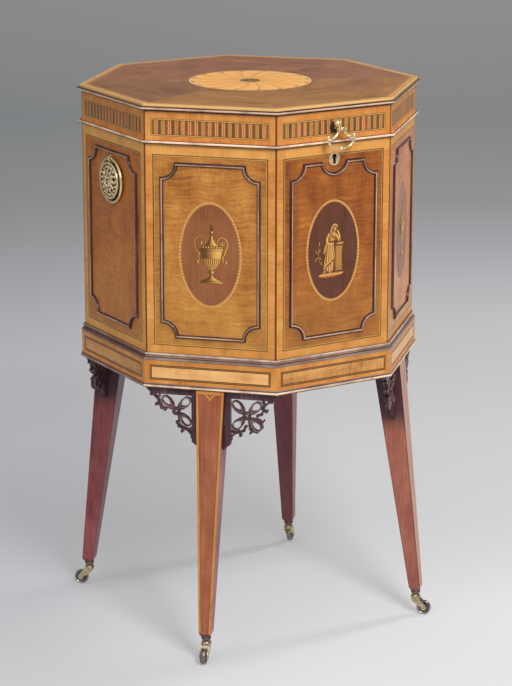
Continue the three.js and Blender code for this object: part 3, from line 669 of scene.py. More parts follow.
def facet_effect() -> None:
    """Places seen from whichever of the eight sides a point belongs to, in millimetres.

    The side is the angle round the middle over an eighth turn, rounded. Across and out are the
    plan coordinates turned back by that side's angle.
    """
    g, _, finish = effect_tree(Effect.FACET, "", "Across, Out, Height, Side, Radius, Turn")
    x, y, z = g.place()
    x, y = x * 1000.0, (y - PLAN_MIDDLE) * 1000.0
    angle = g.math("ARCTAN2", x, y * -1.0)
    side = g.math("ROUND", angle / TURN)
    bearing = side * TURN
    cosine, sine = g.math("COSINE", bearing), g.math("SINE", bearing)
    finish(
        Across=x * cosine + y * sine,
        Out=x * sine - y * cosine,
        Height=z * 1000.0,
        Side=side,
        Radius=g.root(x * x + y * y),
        Turn=angle / math.tau,
    )


def timber_effect() -> None:
    """Colour and grain of a veneer.

    Streaks stretched along the grain, ripples across it and slow clouds are added up round one
    half. The sum runs from the dark tone through the body to the light one. Pores are short
    dark dashes along the grain.
    """
    inputs = "Along, Across, Seed, Ripple, Streak, Pores, #Dark, #Body, #Light"
    g, given, finish = effect_tree(Effect.TIMBER, inputs, "#Colour, Grain")
    along, across, seed = given["Along"], given["Across"], given["Seed"]

    def scaled(stretch: float, squeeze: float, shift: float, sway: Source = 0.0) -> Signal:
        """The place over its two lengths, moved aside by a sway and by the seed."""
        return g.vector(along / stretch, across / squeeze + sway, seed + shift)

    sway = g.noise(scaled(90.0, 34.0, 0.3), detail=1.0)
    streak = g.noise(scaled(120.0, 2.4, 3.1, sway * 5.0), detail=4.0, rough=0.62)
    wave = g.vector(along / 3.2 + sway * 5.0, across / 40.0, seed + 7.7)
    ripple = g.noise(wave, detail=3.0, rough=0.7)
    cloud = g.noise(scaled(60.0, 30.0, 11.9), detail=3.0, rough=0.6)
    pore = g.noise(scaled(4.0, 0.5, 17.3), 0.0)

    def share(value: Source, strength: Source, times: float) -> Signal:
        """The value less one half, times its strength."""
        return (value - 0.5) * strength * times

    total = share(streak, given["Streak"], 2.6) + share(ripple, given["Ripple"], 2.2) + 0.5
    total = total + share(cloud, 1.0, 1.4)
    colour = g.mix(g.fade(total, 0.0, 0.55), given["Dark"], given["Body"])
    colour = g.mix(g.fade(total, 0.45, 1.05), colour, given["Light"])
    dashes = g.fade(pore, 0.58, 0.68) * given["Pores"]
    finish(Colour=g.mix(dashes, colour, given["Dark"]), Grain=total - dashes)


def oval_effect() -> None:
    """Distance outside an oval, and how far round it a point lies.

    The distance is the oval's own radius share less one, over the slope of that share.
    """
    g, given, finish = effect_tree(Effect.OVAL, "Across, Up, Wide, Tall", "Distance, Round")
    u, v = given["Across"] / given["Wide"], given["Up"] / given["Tall"]
    share = g.root(u * u + v * v)
    du, dv = u / given["Wide"], v / given["Tall"]
    slope = g.most(g.root(du * du + dv * dv), 0.0001) / g.most(share, 0.0001)
    finish(Distance=(share - 1.0) / slope, Round=g.math("ARCTAN2", v, u) / math.tau)


def polish_effect() -> None:
    """Handling marks of an old surface: broad smudges and fine scuffed specks, each about one half."""
    g, _, finish = effect_tree(Effect.POLISH, "", "Smudge, Rub")
    place = g.read("TexCoord", "Object")
    finish(Smudge=g.noise(place, 3.0, 28.0), Rub=g.noise(place, 4.0, 420.0, 0.7))


# Finishes


class Coating(Graph):
    """The graph of a material whose shader takes its colour, roughness and relief."""

    coat_roughness = 0.12
    relief_strength = 0.6

    def __init__(self, name: str, metallic: float = 0.0, coat: float = 0.0, specular: float = 0.3) -> None:
        """Makes the material and its shader.

        Args:
            name: Name of the finish.
            metallic: One for a metal.
            coat: Strength of the clear polish over it.
            specular: Strength of the plain gloss.
        """
        self.material = bpy.data.materials.new(name)
        self.material.use_nodes = True
        super().__init__(self.material.node_tree)
        self.tree.nodes.clear()
        self.shader = self.add("BsdfPrincipled")
        self.set(Metallic=metallic, Coat_Weight=coat, Coat_Roughness=self.coat_roughness, Specular_IOR_Level=specular)
        self.feed(self.add("OutputMaterial").inputs["Surface"], Signal(self, self.shader.outputs[0]))

    def set(self, **values: Source) -> None:
        """Feeds sockets of the shader, named with a low line for each space."""
        for name, value in values.items():
            self.feed(self.shader.inputs[name.replace("_", " ")], value)

    @cached_property
    def polish(self) -> dict[str, Signal]:
        """Handling marks of the surface."""
        return self.use(Effect.POLISH)

    def smudged(self, least: float, more: float) -> Signal:
        """A roughness that rises from the least with the smudges."""
        return self.polish["Smudge"] * more + least

    def dress(self, colour: Source, roughness: Source, height: Source, relief: float = 0.00008) -> Material:
        """Feeds the shader.

        Args:
            colour: Base colour.
            roughness: Roughness.
            height: Height that the relief follows.
            relief: Depth of the relief in metres.

        Returns:
            The finished material.
        """
        bump = self.step("Bump", {"Strength": self.relief_strength, "Distance": relief, "Height": height})
        self.set(Base_Color=colour, Roughness=roughness, Normal=bump)
        return self.material


@dataclass(frozen=True)
class Timber:
    """One wood: its tones, and how strongly its ripple, streaks and pores show."""

    dark: Tone
    body: Tone
    light: Tone
    ripple: float = 0.0
    streak: float = 0.5
    pores: float = 0.3

    def cut(self, g: Graph, along: Source, across: Source, seed: Source = 0.0) -> dict[str, Signal]:
        """Lays the wood with its grain along one direction."""
        qualities = {name.capitalize(): value for name, value in vars(self).items()}
        return g.use(Effect.TIMBER, Along=along, Across=across, Seed=seed, **qualities)

    def colour(self, g: Graph, along: Source, across: Source, seed: Source = 0.0) -> Signal:
        """The colour of the wood alone."""
        return self.cut(g, along, across, seed)["Colour"]


SATINWOOD = Timber("be7630", "e6a04a", "f6bc6a", ripple=0.2, streak=0.3)
HONEY = Timber("b46a2c", "d88e44", "eeae62", ripple=0.2, streak=0.3)
FADED = Timber("d89554", "f3b977", "fed196", ripple=0.2, streak=0.3, pores=0.1)
AMBER = Timber("9d612e", "d79855", "ebb16a", ripple=0.3, streak=0.35, pores=0.5)
GOLDEN = Timber("8c5222", "be7d38", "dc9e50", ripple=0.55, streak=0.1, pores=0.6)
RUSSET = Timber("703417", "a05a25", "c67d34", ripple=0.5, streak=0.1, pores=0.5)
ROSY = Timber("a86446", "d49068", "e8aa80", ripple=0.4, streak=0.15)
CHESTNUT = Timber("8c481f", "c2722e", "df9340", ripple=0.45, streak=0.12, pores=0.5)
MAHOGANY = Timber("7a4e2e", "9c6c40", "b28254", ripple=0.1, streak=0.45)
OVAL_GROUND = Timber("784226", "965c38", "aa6e46", streak=0.4)
OVAL_ROSE = Timber("885a48", "ac7662", "be8a70", streak=0.4)
OVAL_DUSK = Timber("4e2a1d", "653a28", "794a33", streak=0.4)
LEG_BROWN = Timber("82442c", "a15d3e", "b97554", ripple=0.1, streak=0.45, pores=0.25)
LEG_PLUM = Timber("71363a", "a35658", "c06c64", streak=0.4)
LEG_RED = Timber("8a493b", "af6b56", "c6886a", streak=0.4)
FRET_WOOD = Timber("26141a", "4a2a34", "845e68")
DARK_WOOD = Timber("281412", "4a2824", "70463a")
PINE = Timber("966a3e", "be9260", "d4ac7a", streak=0.6, pores=0.1)

DARK_STRING = "3e2816"
LIGHT_STRING = "e2b262"
OLIVE_STRING = "6e5c2c"
# pale crest of the mouldings: wear with a painted highlight
WEAR_AND_HIGHLIGHT_CREST = "e8c4aa"
SHADE = "0c0908"


class Inlay(Enum):
    """What is laid in a veneered oval."""

    URN = "urn"
    FIGURE = "figure"


@dataclass(frozen=True)
class Oval:
    """A veneered oval with its figure and its chequered border, in millimetres."""

    figure: Inlay
    ground: Timber
    half_width: float
    half_height: float
    height: float
    aside: float = 0.0
    border: float = 2.2


@dataclass(frozen=True)
class BoardVeneer:
    """The veneers of one side of the case."""

    panel: Timber
    band: Timber
    oval: Oval | None = None


@dataclass(frozen=True)
class CaseFinish:
    """Where the veneers of a side lie, in millimetres from its middle line and above the floor."""

    string_half: float = 75.6
    string_low: float = 424.5
    string_high: float = 676.2
    corner_line: float = 85.6
    face_out: float = 209.9
    dashes: float = 92.0
    # radius of the painted shade round the lion-mask plate
    dirt: float = 28.6
    plate_height: float = 627.0
    slot_half: float = 3.2
    slot_low: float = 660.0
    slot_high: float = 677.0
    # heights over which the lower panel is lightened by painted light
    faded_from: float = 570.0
    faded_to: float = 440.0

    def make(self, side: Side, veneer: BoardVeneer) -> Material:
        """Crossbanding, stringing, a figured panel and a veneered oval.

        Args:
            side: The side of the case.
            veneer: Its woods.

        Returns:
            The material of its board.
        """
        g = Coating(f"veneer_{side.word}")
        across, height, out = g.facet("Across", "Height", "Out")
        seed = 13.7 * side.value
        aside, updown = g.reach(across, height, self.string_half, self.string_low, self.string_high)
        edge, stile = g.most(aside, updown), aside > updown
        panel = veneer.panel.cut(g, height, across, seed)
        band = veneer.band.cut(g, g.pick(stile, height, across), g.pick(stile, across, height), seed + 5)
        colour = g.mix(edge > 0.0, panel["Colour"], band["Colour"])
        grain = g.pick(edge > 0.0, panel["Grain"], band["Grain"])
        faded = g.mix(0.5, colour, LIGHT_STRING)
        strings = [(-0.6, 0.7, DARK_STRING), (-1.9, -0.6, faded), (-2.4, -1.9, OLIVE_STRING)]
        colour = g.lines(colour, edge, strings)
        # painted light: the band above the top string is lightened, and the panel grows lighter towards the bottom
        colour = g.mix((height > self.string_high) * 0.3, colour, "fabe68")
        colour = g.mix(g.fade(height, self.faded_from, self.faded_to) * 0.15, colour, "f0b85c")
        if veneer.oval:
            colour = self.lay_oval(g, colour, across, height, veneer.oval, seed)
        else:
            # painted shade: the veneer within the ring round the lion-mask plate is darkened, standing in for the
            # shadow between plate and ring
            plate = g.use(Effect.OVAL, Across=across, Up=height - self.plate_height, Wide=self.dirt, Tall=self.dirt)
            colour = g.mix(g.fade(plate["Distance"], 1.5, -0.5) * 0.9, colour, "1e120c")
        colour = g.mix(abs(across) > self.corner_line, colour, "70401e")
        colour = g.mix(g.fade(g.polish["Smudge"], 0.55, 0.75) * 0.2, colour, "7e461e")
        inside = MAHOGANY.colour(g, across, height, seed + 9)
        # painted shade: the keyhole slot through the front board is painted near-black
        if side is Side.FRONT:
            slot = (abs(across) < self.slot_half) * g.within(height, self.slot_low, self.slot_high)
            inside = g.mix(slot, inside, SHADE)
        colour = g.mix(out > self.face_out, inside, colour)
        return g.dress(colour, g.smudged(0.26, 0.16), grain)

    def lay_oval(self, g: Graph, colour: Source, across: Signal, height: Signal, oval: Oval, seed: float) -> Signal:
        """Lays the dark oval and its chequered border over a colour.

        Args:
            g: The graph.
            colour: The colour under it.
            across: Place across the side.
            height: Height above the floor.
            oval: The oval.
            seed: Seed of its figure.

        Returns:
            The new colour.
        """
        aside, up = across - oval.aside, height - oval.height
        place = g.use(Effect.OVAL, Across=aside, Up=up, Wide=oval.half_width, Tall=oval.half_height)
        dash = g.fade(g.math("PINGPONG", place["Round"] * self.dashes, 0.5), 0.2, 0.35)
        chequer = g.mix(dash, "dea85e", "9c6632")
        colour = g.mix(place["Distance"] < 0.0, colour, oval.ground.colour(g, height, across, seed + 3))
        bands = [
            (-oval.border, 0.0, chequer),
            (-0.6, 0.2, "e6b266"),
            (-oval.border - 0.4, -oval.border, "c48e4e"),
        ]
        return g.lines(colour, place["Distance"], bands)


@dataclass(frozen=True)
class LidTopFinish:
    """Bands of the lid's top by distance out, and the fan patera by radius, in millimetres."""

    edge_band: float = 210.9
    border_out: float = 210.2
    border_in: float = 204.6
    rim: float = 83.0
    petals: float = 16.0
    petal_end: float = 74.0
    bow: float = 5.6
    eye: float = 13.6
    swirl: float = 0.007
    underside: float = 735.0
    # side whose sector is dimmed by a painted grey-purple sheen
    dusky_side: float = -2.0

    def make(self) -> Material:
        """Mahogany in eight sectors with a painted sheen that tints each by the way it faces and dims the left one, a
        honey border and a fan patera in the middle.

        Returns:
            The material.
        """
        g = Coating("lid_top_veneer")
        across, out, radius, height, side, turn = g.facet("Across", "Out", "Radius", "Height", "Side", "Turn")
        seed = side * 7.3
        ground = MAHOGANY.cut(g, across, out, seed)
        ruddy = g.mix(1.0, ground["Colour"], "e8daf4", "MULTIPLY")
        warm = g.mix(1.0, ground["Colour"], "f8f3c6", "MULTIPLY")
        # painted sheen: each sector is tinted ruddy or warm by the way it faces, and one is dimmed grey-purple
        painted_sheen_facing = g.math("COSINE", side * TURN + 0.5)
        colour = g.mix(g.fade(painted_sheen_facing, 0.9, -0.6), warm, ruddy)
        grey_sheen = g.within(side, self.dusky_side - 0.5, self.dusky_side + 0.5)
        colour = g.mix(grey_sheen, colour, "e4defc", "MULTIPLY")
        border = g.mix(0.5, SATINWOOD.colour(g, out, across, seed), "b0804c")
        colour = g.mix(out > self.border_in, colour, border)
        bands = [
            (self.border_in - 4.6, self.border_in - 4.0, DARK_STRING),
            (self.border_in - 4.0, self.border_in - 1.0, "ac7a48"),
            (self.border_in - 1.0, self.border_in, "604022"),
            (self.border_out, self.edge_band, DARK_STRING),
            (self.edge_band, 213.0, "eec07a"),
        ]
        colour = g.lines(colour, out, bands)
        colour = self.lay_patera(g, colour, radius, turn)
        x, y, _ = g.place()
        colour = g.mix(height > self.underside, MAHOGANY.colour(g, x * 1000.0, y * 1000.0), colour)
        return g.dress(colour, g.smudged(0.34, 0.2), ground["Grain"])

    def lay_patera(self, g: Graph, colour: Source, radius: Signal, turn: Signal) -> Signal:
        """Lays the fan over a colour.

        The petals bend with the radius. A petal's end is its base radius plus a half round of the
        place across it, and the burnt shading falls from each joint between two petals.

        Args:
            g: The graph.
            colour: The colour under it.
            radius: Distance from the middle of the lid.
            turn: Place round it, in turns.

        Returns:
            The new colour.
        """
        bend = (radius - self.petal_end) * self.swirl
        share = g.math("FRACT", turn * self.petals + self.petals + bend)
        centred = share * 2.0 - 1.0
        bow = g.root(g.most(1.0 - centred * centred, 0.0))
        petal = g.mix(0.5, SATINWOOD.colour(g, radius, share * 24.0, 41.0), "f6b868")
        petal = g.mix(g.fade(share, 0.35, 0.0) * 0.3, petal, "b07a3a")
        petal = g.mix((1.0 - abs(centred)) * radius < 1.7, petal, "966634")
        spandrel = g.mix(bow > 0.45, "543c20", "c49658")
        fan = g.mix(radius > bow * self.bow + self.petal_end, petal, spandrel)
        bands = [
            (self.rim - 2.6, self.rim - 0.7, "ecc484"),
            (self.rim - 0.7, self.rim, "7e5832"),
            (0.0, self.eye, "685c30"),
            (self.eye - 1.8, self.eye, "42341c"),
            (4.0, 6.0, "463a1e"),
            (0.0, 2.6, "a88446"),
        ]
        fan = g.lines(fan, radius, bands)
        return g.mix(radius < self.rim, colour, fan)


@dataclass(frozen=True)
class LidFriezeFinish:
    """The crossbanded lid frieze with a panel of alternating upright strips, in millimetres."""

    panel_half: float = 77.5
    panel_low: float = 702.0
    panel_high: float = 722.0
    strip_width: float = 4.43
    corner_line: float = 85.6
    face_out: float = 209.5
    bead_top: float = 695.4
    crest_low: float = 692.6
    crest_high: float = 694.2

    def make(self) -> Material:
        """Honey border, strung panel of strips, and a dark bead along the bottom whose crest is painted pale, for
        wear and a painted highlight.

        Returns:
            The material.
        """
        g = Coating("lid_frieze_veneer")
        across, height, out, side = g.facet("Across", "Height", "Out", "Side")
        seed = side * 3.9
        edge = g.most(*g.reach(across, height, self.panel_half, self.panel_low, self.panel_high))
        border = HONEY.cut(g, height, across, seed)
        cell = (across + self.panel_half) / self.strip_width
        number = g.math("FLOOR", cell)
        hue = g.noise(g.vector(number * 5.3, seed, 2.5), 0.0)
        hues = g.mix(g.fade(hue, 0.42, 0.58), "aa8a50", "d08c5e")
        light = g.mix(0.7, SATINWOOD.colour(g, height, across, number + seed), hues)
        chance = g.noise(g.vector(number * 3.7, seed, 0.5), 0.0)
        dark = CHESTNUT.colour(g, height, across, number + seed)
        dark = g.mix(g.fade(chance, 0.6, 0.4) * 0.4 + 0.35, dark, "5c3c2e")
        strips = g.mix(g.math("FRACT", number * 0.5) > 0.25, dark, light)
        strips = g.mix(g.math("PINGPONG", cell + 0.5, 0.5) < 0.06, strips, "5c381c")
        colour = g.mix(edge > 0.0, strips, border["Colour"])
        colour = g.lines(colour, edge, [(-1.1, 1.1, DARK_STRING), (-0.4, 0.5, LIGHT_STRING)])
        colour = g.mix(abs(across) > self.corner_line, colour, "683e28")
        # painted highlight with wear: the bead's crest is painted cream in patches
        crest = g.fade(height, self.crest_low - 1.0, self.crest_low)
        crest = crest * g.fade(height, self.crest_high + 0.8, self.crest_high) * worn_share(g)
        bead = g.mix(0.12, DARK_WOOD.colour(g, across, height, seed), "8c4c28")
        colour = g.mix(height < self.bead_top, colour, g.mix(crest, bead, "fadabe"))
        colour = g.mix(out > self.face_out, MAHOGANY.colour(g, across, height, seed), colour)
        return g.dress(colour, g.smudged(0.24, 0.14), border["Grain"])


def worn_share(g: Graph) -> Signal:
    """How strongly the crest of a moulding is painted pale, for wear and a painted highlight: patches along it
    between a half and all.
    """
    patch = g.noise(g.read("TexCoord", "Object"), 3.0, 36.0)
    return g.fade(patch, 0.35, 0.6) * 0.45 + 0.55


@dataclass(frozen=True)
class StandFinish:
    """The stand's strung frieze between its bead and its collar, in millimetres."""

    panel_half: float = 81.6
    panel_low: float = 377.5
    panel_high: float = 397.8
    frieze_low: float = 373.1
    collar_low: float = 403.9
    face_out: float = 209.6
    underside: float = 366.5

    def make(self) -> Material:
        """Satinwood frieze with a double string, cream bead and dark collar, whose crests are painted pale in bands
        for wear and a painted highlight and sheen.

        Returns:
            The material.
        """
        g = Coating("stand_veneer")
        across, height, out, side = g.facet("Across", "Height", "Out", "Side")
        seed = side * 5.1
        edge = g.most(*g.reach(across, height, self.panel_half, self.panel_low, self.panel_high))
        border = HONEY.cut(g, height, across, seed)
        amber, faded = (wood.colour(g, across, height, seed + 2.0) for wood in (AMBER, FADED))
        panel = g.mix(g.within(abs(side), 0.5, 1.5), amber, faded)
        colour = g.mix(edge > 0.0, panel, border["Colour"])
        strings = [(-0.9, 0.0, DARK_STRING), (-2.1, -0.9, "9e703c"), (-3.0, -2.1, DARK_STRING)]
        colour = g.lines(colour, edge, strings)
        wood = DARK_WOOD.colour(g, across, height, seed)
        moulded = g.mix(0.12, wood, "8c5438")
        # painted sheen and highlight with wear: full on the three front sides, about a third elsewhere
        share = worn_share(g) * g.pick(abs(side) < 1.5, 0.35, 1.0)

        def worn(code: str) -> Signal:
            """The moulded wood painted to a pale tone in patches, for wear and a painted highlight and sheen."""
            return g.mix(share, moulded, code)

        bands = [
            (300.0, self.frieze_low, moulded),
            (368.0, 370.6, worn("f6d6b8")),
            (371.2, self.frieze_low, worn("8c7e7a")),
            (self.collar_low, 420.0, moulded),
            (self.collar_low, 407.2, worn("928680")),
            (408.3, 411.0, worn("b49076")),
            (411.0, 413.4, worn("d0baac")),
        ]
        colour = g.lines(colour, height, bands)
        colour = g.mix(g.most(out < self.face_out, height < self.underside), colour, wood)
        return g.dress(colour, g.smudged(0.22, 0.14), border["Grain"])


@dataclass(frozen=True)
class LegFinish:
    """Red mahogany legs, banded on the outer face, in millimetres."""

    top: float = 366.4
    foot: float = 40.4
    top_half: float = 18.9
    foot_half: float = 8.2
    top_out: float = 214.4
    foot_out: float = 246.8
    band: float = 3.2
    cusp_down: float = 4.5
    cusp_half: float = 7.6
    cusp_length: float = 9.6

    def make(self) -> Material:
        """Banded outer face, paled on the front-right leg by a painted reflection, dark sides with painted shade at
        the head and along the arrises, and a pointed inlay at the head.

        Returns:
            The material.
        """
        g = Coating("leg_wood", coat=0.1)
        across, height, out, side, turn = g.facet("Across", "Height", "Out", "Side", "Turn")
        seed = side * 9.1
        drop = (self.top - height) / (self.top - self.foot)
        half = self.top_half - drop * (self.top_half - self.foot_half)
        face = self.top_out - 0.4 + drop * (self.foot_out - self.top_out)
        aside = abs(across)
        brown = LEG_BROWN.cut(g, height, across, seed)
        band = g.mix(0.55, SATINWOOD.colour(g, across, height, seed), "b47038")
        head = self.top - self.cusp_down - height
        cusp = (aside / self.cusp_half) ** 0.6 + head / self.cusp_length
        colour = g.lines(brown["Colour"], cusp, [(0.74, 1.0, "e2a04e"), (1.0, 1.07, "60361c")])
        bands = [(-9.0, self.band, band), (self.band, self.band + 0.5, "683c20")]
        colour = g.lines(colour, half - aside, bands)
        colour = g.lines(colour, head, [(-9.0, 0.0, band), (0.0, 0.5, "60361c")])
        breadth = face - out - half
        # painted shade: the sides darken along their arrises
        arris_shade = g.fade(half - abs(breadth), 0.35 * self.foot_half, 0.0)
        plum, ruddy = (wood.colour(g, height, across + out, seed) for wood in (LEG_PLUM, LEG_RED))
        flank = g.mix((abs(turn - 0.125) < 0.06) * (1.0 - arris_shade * 0.8), plum, ruddy)
        flank = g.mix(arris_shade * 0.5, flank, "5a3e54")
        # painted shade: the sides darken at the head, down to about a third of the leg, under the brackets
        flank = g.mix(g.fade(drop, 0.33, 0.2) * 0.88, flank, "3a1f2c")
        # painted reflection: the outer face of the front-right leg is paled towards grey-pink
        colour = g.mix(g.within(side, 0.5, 1.5) * 0.4, colour, "d6b4a6")
        colour = g.mix(out > face, flank, colour)
        scuff = g.fade(drop, 0.75, 1.0) * g.fade(g.polish["Rub"], 0.5, 0.65)
        colour = g.mix(scuff * 0.4, colour, "5c3442")
        return g.dress(colour, g.smudged(0.26, 0.18), brown["Grain"])


@dataclass(frozen=True)
class PlainWoodFinish:
    """One wood all over, with its grain along a chosen line of the case."""

    name: str
    wood: Timber
    grain: Axis
    gloss: float = 0.28
    coat: float = 0.15
    crest: float | None = None

    def make(self) -> Material:
        """Figured wood whose light tone comes up where the piece is scuffed, with a crest painted pale for wear and a
        painted highlight.

        Returns:
            The material.
        """
        g = Coating(self.name, coat=self.coat)
        *lines, side = g.facet("Across", "Out", "Height", "Side")
        height = lines[Axis.HEIGHT.value]
        along = lines.pop(self.grain.value)
        wood = self.wood.cut(g, along, sum(lines), side * 4.7)
        colour = g.mix(g.fade(g.polish["Rub"], 0.5, 0.75) * 0.25, wood["Colour"], self.wood.light)
        # painted highlight with wear: a crest band at one height, or the piece's tone, pales the wood in patches
        if self.crest:
            worn = g.fade(abs(height - self.crest), 1.5, 0.8)
        else:
            worn = g.read("Attribute", "Fac", attribute_name="tone")
        colour = g.mix(worn * worn_share(g), colour, WEAR_AND_HIGHLIGHT_CREST)
        return g.dress(colour, g.smudged(self.gloss - 0.08, 0.18), wood["Grain"])


@dataclass(frozen=True)
class InlayFinish:
    """Cut veneer whose burnt shading follows the tone of each point.

    A tone below zero is the salmon-coloured wood.
    """

    salmon: Tone = "b0603e"
    light: Tone = "e8b668"
    middle: Tone = "a4763c"
    shade: Tone = "5e4626"

    def make(self) -> Material:
        """Light wood burnt darker towards a tone of one.

        Returns:
            The material.
        """
        g = Coating("inlay_wood")
        share = (g.read("Attribute", "Fac", attribute_name="tone") + 1.0) / 2.0
        colour = g.ramp(share, [(0.0, self.salmon), (0.5, self.light), (0.75, self.middle), (1.0, self.shade)])
        streak = SATINWOOD.cut(g, *g.facet("Height", "Across"), 61.0)
        colour = g.mix(0.2, colour, streak["Colour"], "SOFT_LIGHT")
        return g.dress(colour, 0.32, streak["Grain"])


@dataclass(frozen=True)
class MetalFinish:
    """A metal, its patina in hollows, and its roughness."""

    name: str
    bright: Tone
    body: Tone
    patina: Tone
    roughness: float
    spread: float = 0.15
    relief: float = 0.00005
    metallic: float = 1.0
    stain: float = 0.5

    def make(self) -> Material:
        """Rubbed metal, darker where the tone of a point is high and where grime has settled.

        Returns:
            The material.
        """
        g = Coating(self.name, metallic=self.metallic)
        rub, hollow = g.polish["Rub"], g.read("Attribute", "Fac", attribute_name="tone")
        dirt = g.most(g.fade(g.polish["Smudge"], 0.4, 0.7) * self.stain, hollow)
        colour = g.mix(dirt, g.mix(g.fade(rub, 0.4, 0.7), self.body, self.bright), self.patina)
        return g.dress(colour, self.roughness + dirt * self.spread, rub, self.relief)


# The case


@dataclass
class Carcass:
    """The side boards, their raised mouldings and what is inlaid in them, in millimetres."""

    face: float = 210.0
    panel_half: float = 64.48
    panel_low: float = 437.0
    panel_high: float = 665.0
    hollow_radius: float = 19.5
    dip_radius: float = 20.0
    dip_height: float = 670.0
    finish: CaseFinish = CaseFinish()
    # strength of the painted crest highlight on the left and right runs, for each side
    plain_crest: tuple[float, float] = (0.35, 0.45)
    crests: dict[Side, tuple[float, float]] = field(
        default_factory=lambda: {Side.FRONT_LEFT: (0.05, 0.8), Side.FRONT: (0.9, 0.45), Side.LEFT: (0.2, 0.3)}
    )

    def dress(self, woods: dict[Side, BoardVeneer], dark: Material, inlay: Material) -> None:
        """Gives each board its veneers, its moulding and its inlay.

        Args:
            woods: The veneers of each side.
            dark: Finish of the mouldings.
            inlay: Finish of the inlaid figures.
        """
        for side, veneer in woods.items():
            paint(self.finish.make(side, veneer), f"carcass_side_{side.word}")
            self.moulding(side, dark)
            if veneer.oval:
                shells = self.figure(side) if veneer.oval.figure is Inlay.FIGURE else self.urn(side)
                piece = Piece(f"inlay_{veneer.oval.figure.value}_{side.word}", "cabinet", "veneer")
                piece.add(*shells).build(inlay)

    def outline(self, dipped: bool) -> Array:
        """The moulding's line: straight sides, hollow quarter rounds at the corners, and a dip if asked.

        Args:
            dipped: Whether the line dips at the top.

        Returns:
            The closed line's points.
        """
        half, low, high, radius = self.panel_half, self.panel_low, self.panel_high, self.hollow_radius
        meet = math.degrees(math.asin((self.dip_height - high) / self.dip_radius))
        dip = [arc((0, self.dip_height), self.dip_radius, -meet, meet - 180, 40)] if dipped else []
        return np.vstack([
            arc((half, low), radius, 180, 90, 16),
            arc((half, high), radius, 270, 180, 16),
            *dip,
            arc((-half, high), radius, 0, -90, 16),
            arc((-half, low), radius, 90, 0, 16),
        ])

    def moulding(self, side: Side, finish: Material) -> None:
        """A bead between two small steps, carried round the outline with mitres, its crest painted pale for wear and
        a painted highlight.

        Args:
            side: The side it stands on.
            finish: Its material.
        """
        bead = [(1.75 * math.cos(a), 0.9 + 2.5 * math.sin(a)) for a in np.linspace(0, math.pi, 21)]
        section = np.array([(2.5, 0.0), (2.5, 0.6), (2.2, 0.9), *bead, (-2.2, 0.9), (-2.5, 0.6), (-2.5, 0.0)])
        line = self.outline(side is Side.FRONT)
        outwards = mitres(line)
        grid = line[:, None] + outwards[:, None] * section[None, :, :1]
        out = self.face + section[None, :, 1]
        points = side.place(grid[..., 0], out, grid[..., 1])
        # painted highlight: each side sets the crest's tone on its left and right runs, and the level runs rise to
        # the most
        upright = np.where(outwards[:, :1] < 0, *self.crests.get(side, self.plain_crest))
        lit = upright + (0.95 - upright) * abs(outwards[:, 1:]) ** 2
        worn = lit * np.exp(-(((section[None, :, 0] + 0.35) / 0.62) ** 2)) * (section[None, :, 1] > 1.5)
        piece = Piece(f"moulding_{side.word}", "cabinet", "dark_wood", replaces=(f"panel_moulding_{side.word}",))
        piece.add(skin(points, worn, rows_closed=True)).build(finish)

    def patch(self, side: Side, across: Array, up: Array, tones: Array, rise: float) -> Shell:
        """A thin sheet of veneer: its top a little proud of the board, its back sunk in it.

        Args:
            side: The side that it is on.
            across: Grid of places across.
            up: Grid of heights above the floor.
            tones: Tone of each point.
            rise: How far its top stands proud.

        Returns:
            The closed shell.
        """
        across, up, tones = np.broadcast_arrays(across, up, tones)
        top = side.place(across, self.face + rise, up)
        back = side.place(across, self.face - rise, up)
        return skin(np.hstack([top, back[:, ::-1]]), np.hstack([tones, tones[:, ::-1]]), capped=True)

    def cut_out(
        self, side: Side, edges: Array | Sequence[Place], shade: Shade, columns: int, rise: float = 0.12
    ) -> Shell:
        """A shape with one left and one right edge at each height.

        A point lies between the two edges by its place from -1 to 1.

        Args:
            side: The side that it is on.
            edges: Height, left edge and right edge, from the bottom up.
            shade: Tone from the place across and the share of the height.
            columns: Points across.
            rise: How far its top stands proud.

        Returns:
            The closed shell.
        """
        height, left, right = np.asarray(edges, float).T[:, :, None]
        place = np.linspace(-1, 1, columns)[None, :]
        share = (height - height.min()) / np.ptp(height)
        across = (left + right) / 2 + (right - left) / 2 * place
        return self.patch(side, across, height, shade(place, share), rise)

    def ribbon(self, side: Side, path: Array, halves: Array, shade: float, rise: float) -> Shell:
        """A band of changing breadth along a path: the path plus its breadth along its own normal.

        Args:
            side: The side it stands on.
            path: The line down its middle.
            halves: Half its breadth at each point.
            shade: Its tone.
            rise: How far it stands up.

        Returns:
            The band's shell.
        """
        along = unit(np.gradient(path, axis=0))
        normal = np.stack([-along[:, 1], along[:, 0]], axis=-1)
        place = np.linspace(-1, 1, 5)[None, :, None]
        grid = path[:, None] + normal[:, None] * place * np.asarray(halves)[:, None, None]
        return self.patch(side, grid[..., 0], grid[..., 1], shade + 0.2 * place[..., 0], rise)

    def strand(
        self, side: Side, path: Array, halves: Array, shade: float, margin: float, rises: tuple[float, float]
    ) -> list[Shell]:
        """A ribbon over a broader burnt one, which gives it its outline."""
        outline = self.ribbon(side, path, halves + margin, 1.0, rises[0])
        return [outline, self.ribbon(side, path, halves, shade, rises[1])]

    def urn(self, side: Side) -> list[Shell]:
        """A covered urn with scrolled handles, in light wood burnt darker down its left side.

        Each part runs between two levels with a half breadth that follows a power or a sine of the
        share of the way up. A slightly larger dark copy under each part gives it its outline.

        Args:
            side: The side that it is on.

        Returns:
            Its shells.
        """
        middle, foot = 1.6, 511.4

        def rolled(place: Array, share: Array) -> Array:
            """Dark at the left edge, light past the middle."""
            return np.clip(0.5 - 0.9 * place, 0, 1) ** 1.3

        def fluted(place: Array, share: Array) -> Array:
            """Seven flutes, dark between them."""
            return np.clip(0.52 + 0.62 * np.cos(8 * math.pi * place + math.pi) - 0.3 * place, 0, 1)

